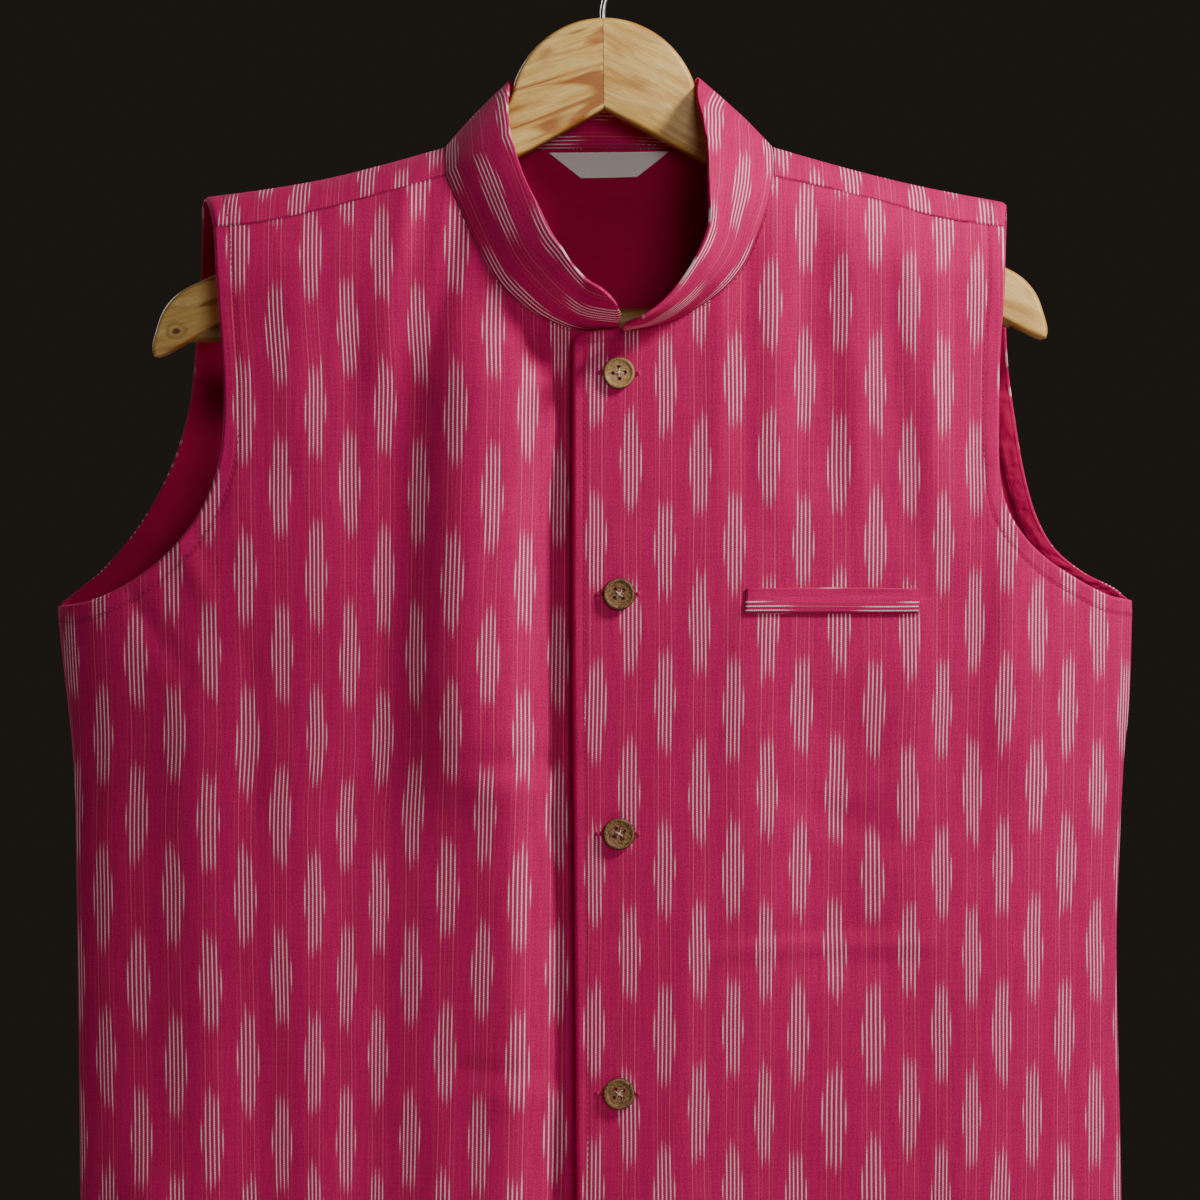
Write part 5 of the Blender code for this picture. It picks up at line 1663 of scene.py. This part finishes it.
def make_wood(name, turn, figure=0.4, tone=1.0, knot=None):
    """Pale softwood under a thin varnish, its grain along the piece; figure is its stains' strength. Its
    edges, and the whole piece when tone is below 1, are darkened as painted shade.
    """
    wood = Finish(name, Specular_IOR_Level=0.45, Coat_Weight=0.12, Coat_Roughness=0.3)
    turned = (0.0, turn, 0.0)
    bands = wood.noise(wood.place(turned, (34.0, 5.0, 4.0)), 1.0, 3.0, 0.55, 0.5)
    rings = (bands * 9.0 * math.tau).wave() * 0.5 + 0.5
    streak = wood.noise(wood.place(turned, (120.0, 12.0, 4.6)), 1.0, 3.0, 0.6)
    pores = wood.noise(wood.place(turned, (9.0, 0.6, 0.5)), 1.0, 2.0, 0.6)
    stain = wood.noise(wood.place(turned, (64.0, 24.0, 11.0)), 1.0, 2.0, 0.5, 1.2)
    colour = wood.blend(bands.rise(0.3, 0.7), paint(230, 180, 88), paint(244, 208, 126))
    colour = wood.blend(rings.rise(0.55, 1.0) * 0.30, colour, paint(208, 150, 62))
    colour = wood.blend(streak.rise(0.55, 0.70) * figure, colour, paint(176, 104, 28))
    colour = wood.blend(stain.rise(0.50, 0.64) * figure, colour, paint(166, 92, 20))
    colour = wood.blend(pores.rise(0.64, 0.78) * 0.45, colour, paint(120, 72, 28))
    # Painted shade: the bevels and edges, turned from the front and back faces, are painted a darker orange.
    rim = abs(wood.facing()).rise(0.95, 0.55)
    colour = wood.blend(rim * 0.6, colour, paint(178, 108, 32))
    if knot:
        sockets = {0: wood.place(centre=knot), 1: (1.0, 0.0, 1.25)}
        flat = wood.node("ShaderNodeVectorMath", {"operation": "MULTIPLY"}, sockets)
        far = wood.node("ShaderNodeVectorMath", {"operation": "LENGTH"}, {0: flat}, "Value")
        eye = far + (bands - 0.5) * 5.0 + (pores - 0.5) * 1.5
        ring = eye.rise(8.0, 2.0) * (0.45 + 0.35 * (eye * 1.6).wave())
        colour = wood.blend(ring, colour, paint(150, 88, 30))
        colour = wood.blend(eye.rise(2.6, 1.2) * 0.75, colour, paint(96, 52, 20))
    height = rings * 0.25 + pores * 0.5 + streak * 0.25
    # The bands vary the wood's own colour; tone below 1 darkens it all as painted shade.
    colour = wood.shade(colour, (0.9 + 0.2 * bands) * tone)
    return wood.done(Base_Color=colour, Roughness=0.42 + pores * 0.2, Normal=wood.bump(height, 0.12))


def make_steel():
    """Bright plated wire with fine drawing lines."""
    steel = Finish("plated wire", Metallic=1.0)
    lines = steel.noise(steel.place(stretch=(0.6, 0.6, 9.0)), 1.0, 2.0)
    wear = steel.noise(steel.place(), 0.25, 3.0)
    colour = steel.blend(wear.rise(0.4, 0.7), paint(196, 196, 194), paint(222, 221, 218))
    return steel.done(Base_Color=colour, Roughness=0.2 + 0.18 * lines, Normal=steel.bump(lines, 0.03))


def make_floor():
    floor = Finish("pale studio floor")
    dust = floor.noise(floor.place(), 0.02, 3.0)
    colour = floor.blend(dust, paint(206, 204, 200), paint(214, 212, 208))
    return floor.done(Base_Color=colour, Roughness=0.85 + dust * 0.05)


# ---- Studio ----------------------------------------------------------------------------------

FLOOR_Z = -900.0
FLOOR_R = 1.25
# Round soft lights, in metres and watts.
LIGHTS = (  # name, place, aim, size, power, colour
    ("key_light", (0.85, -0.50, 0.46), (0.05, 0.0, -0.25), 0.26, 18.0, (1.0, 0.97, 0.95)),
    ("fill_light", (0.5, -2.2, 0.1), (0.0, 0.0, -0.3), 0.7, 12.0, (1.0, 1.0, 1.0)),
    ("back_light", (-1.4, 1.5, 0.5), (0.0, 0.0, -0.4), 0.9, 17.0, (1.0, 1.0, 1.0)),
)
SURROUND = (0.32, 0.26, 0.21, 1.0)
SURROUND_STRENGTH = 0.045
CAMERA_PLACE = (-0.0015, -2.445, -0.353)
CAMERA_LENS = 144.0


def soft_light(name, place, aim, size, power, colour):
    light = bpy.data.lights.new(name, "AREA")
    light.shape = "DISK"
    light.size = size
    light.energy = power
    light.color = colour
    obj = bpy.data.objects.new(name, light)
    bpy.context.scene.collection.objects.link(obj)
    obj.location = place
    obj.rotation_euler = (Vector(aim) - Vector(place)).to_track_quat("-Z", "Y").to_euler()
    obj.visible_camera = False


def set_studio():
    bm = bmesh.new()
    bmesh.ops.create_circle(bm, cap_ends=True, segments=96, radius=FLOOR_R)
    bmesh.ops.translate(bm, vec=(0.0, 0.0, FLOOR_Z * MM), verts=bm.verts)
    mesh = bpy.data.meshes.new("studio_floor")
    bm.to_mesh(mesh)
    bm.free()
    mesh.materials.append(make_floor())
    floor = bpy.data.objects.new("studio_floor", mesh)
    bpy.context.scene.collection.objects.link(floor)
    world = bpy.data.worlds.new("studio")
    bpy.context.scene.world = world
    world.use_nodes = True
    sky = world.node_tree.nodes["Background"]
    sky.inputs["Color"].default_value = SURROUND
    sky.inputs["Strength"].default_value = SURROUND_STRENGTH
    for light in LIGHTS:
        soft_light(*light)
    camera = bpy.data.objects.new("camera", bpy.data.cameras.new("camera"))
    bpy.context.scene.collection.objects.link(camera)
    camera.location = CAMERA_PLACE
    camera.rotation_euler = (math.radians(90), 0.0, 0.0)
    camera.data.lens = CAMERA_LENS
    camera.data.sensor_width = 36.0
    camera.data.clip_start = 0.05
    bpy.context.scene.camera = camera


# ---- The whole -------------------------------------------------------------------------------

IKAT = make_ikat()
LINING_CLOTH = make_lining()
SEWING = make_thread(
    "magenta sewing thread", SEWING_DARK, SEWING_LIGHT, 2.6, 0.12, Sheen_Weight=0.05, Specular_IOR_Level=0.2,
)
CREAM_THREAD = make_thread(
    "cream button thread", (196, 150, 140), (238, 222, 212), 3.0, 0.15, Sheen_Weight=0.3,
)
TAPE = make_tape()
# The third colour of each shell serves for its cracks and for the painted shade on its rounded edge.
SHELLS = (
    make_shell("light coconut shell", (196, 160, 108), (150, 112, 66), (92, 60, 34), 0.12),
    make_shell("veined coconut shell", (168, 126, 76), (112, 76, 42), (62, 40, 24), 0.75),
)
WOOD_LEFT = make_wood("pale wood, right arm", math.radians(-17), 0.9, 1.0, (-217.0, -7.0, -216.0))
WOOD_RIGHT = make_wood("pale wood, left arm", math.radians(28), 0.35)
# The bar's colour is halved as painted shade, for the shadow inside the jacket.
BAR_WOOD = make_wood("pale wood with painted shade, bar", 0.0, 0.4, 0.5)
STEEL = make_steel()

front_left = make_front("front_left_cloth", "right", FRONT_FOOT_X, upper_front_y, "front_left")
make_front("front_right_cloth", "left", UNDER_FOOT_X, under_front_y, "front_right")
make_back()
lining = make_back_lining()
near, far = FACING_REACH
make_facing("facing_strip_left", near, far, "armhole_facing_left", 1.0)
make_facing("facing_strip_right", BACK_COLUMNS - near, BACK_COLUMNS - far, "armhole_facing_right", 5.0)
make_collar()
front_tree = tree_on(front_left)
make_welt(front_tree)
make_label(tree_on(lining))
backs = [make_button(n + 1, turn, SHELLS[0 if n == 0 else 1]) for n, turn in enumerate(BUTTON_TURNS)]
make_button_threads(backs, BUTTON_TURNS)
make_buttonholes(front_tree)
stitched = {name: make_topstitching(bpy.data.objects[name], guides) for name, guides in STITCH_ROWS.items()}
make_hanger_half("left", WOOD_LEFT, "hanger_right")
make_hanger_half("right", WOOD_RIGHT, "hanger_left")
make_bar()
make_hook()
set_studio()
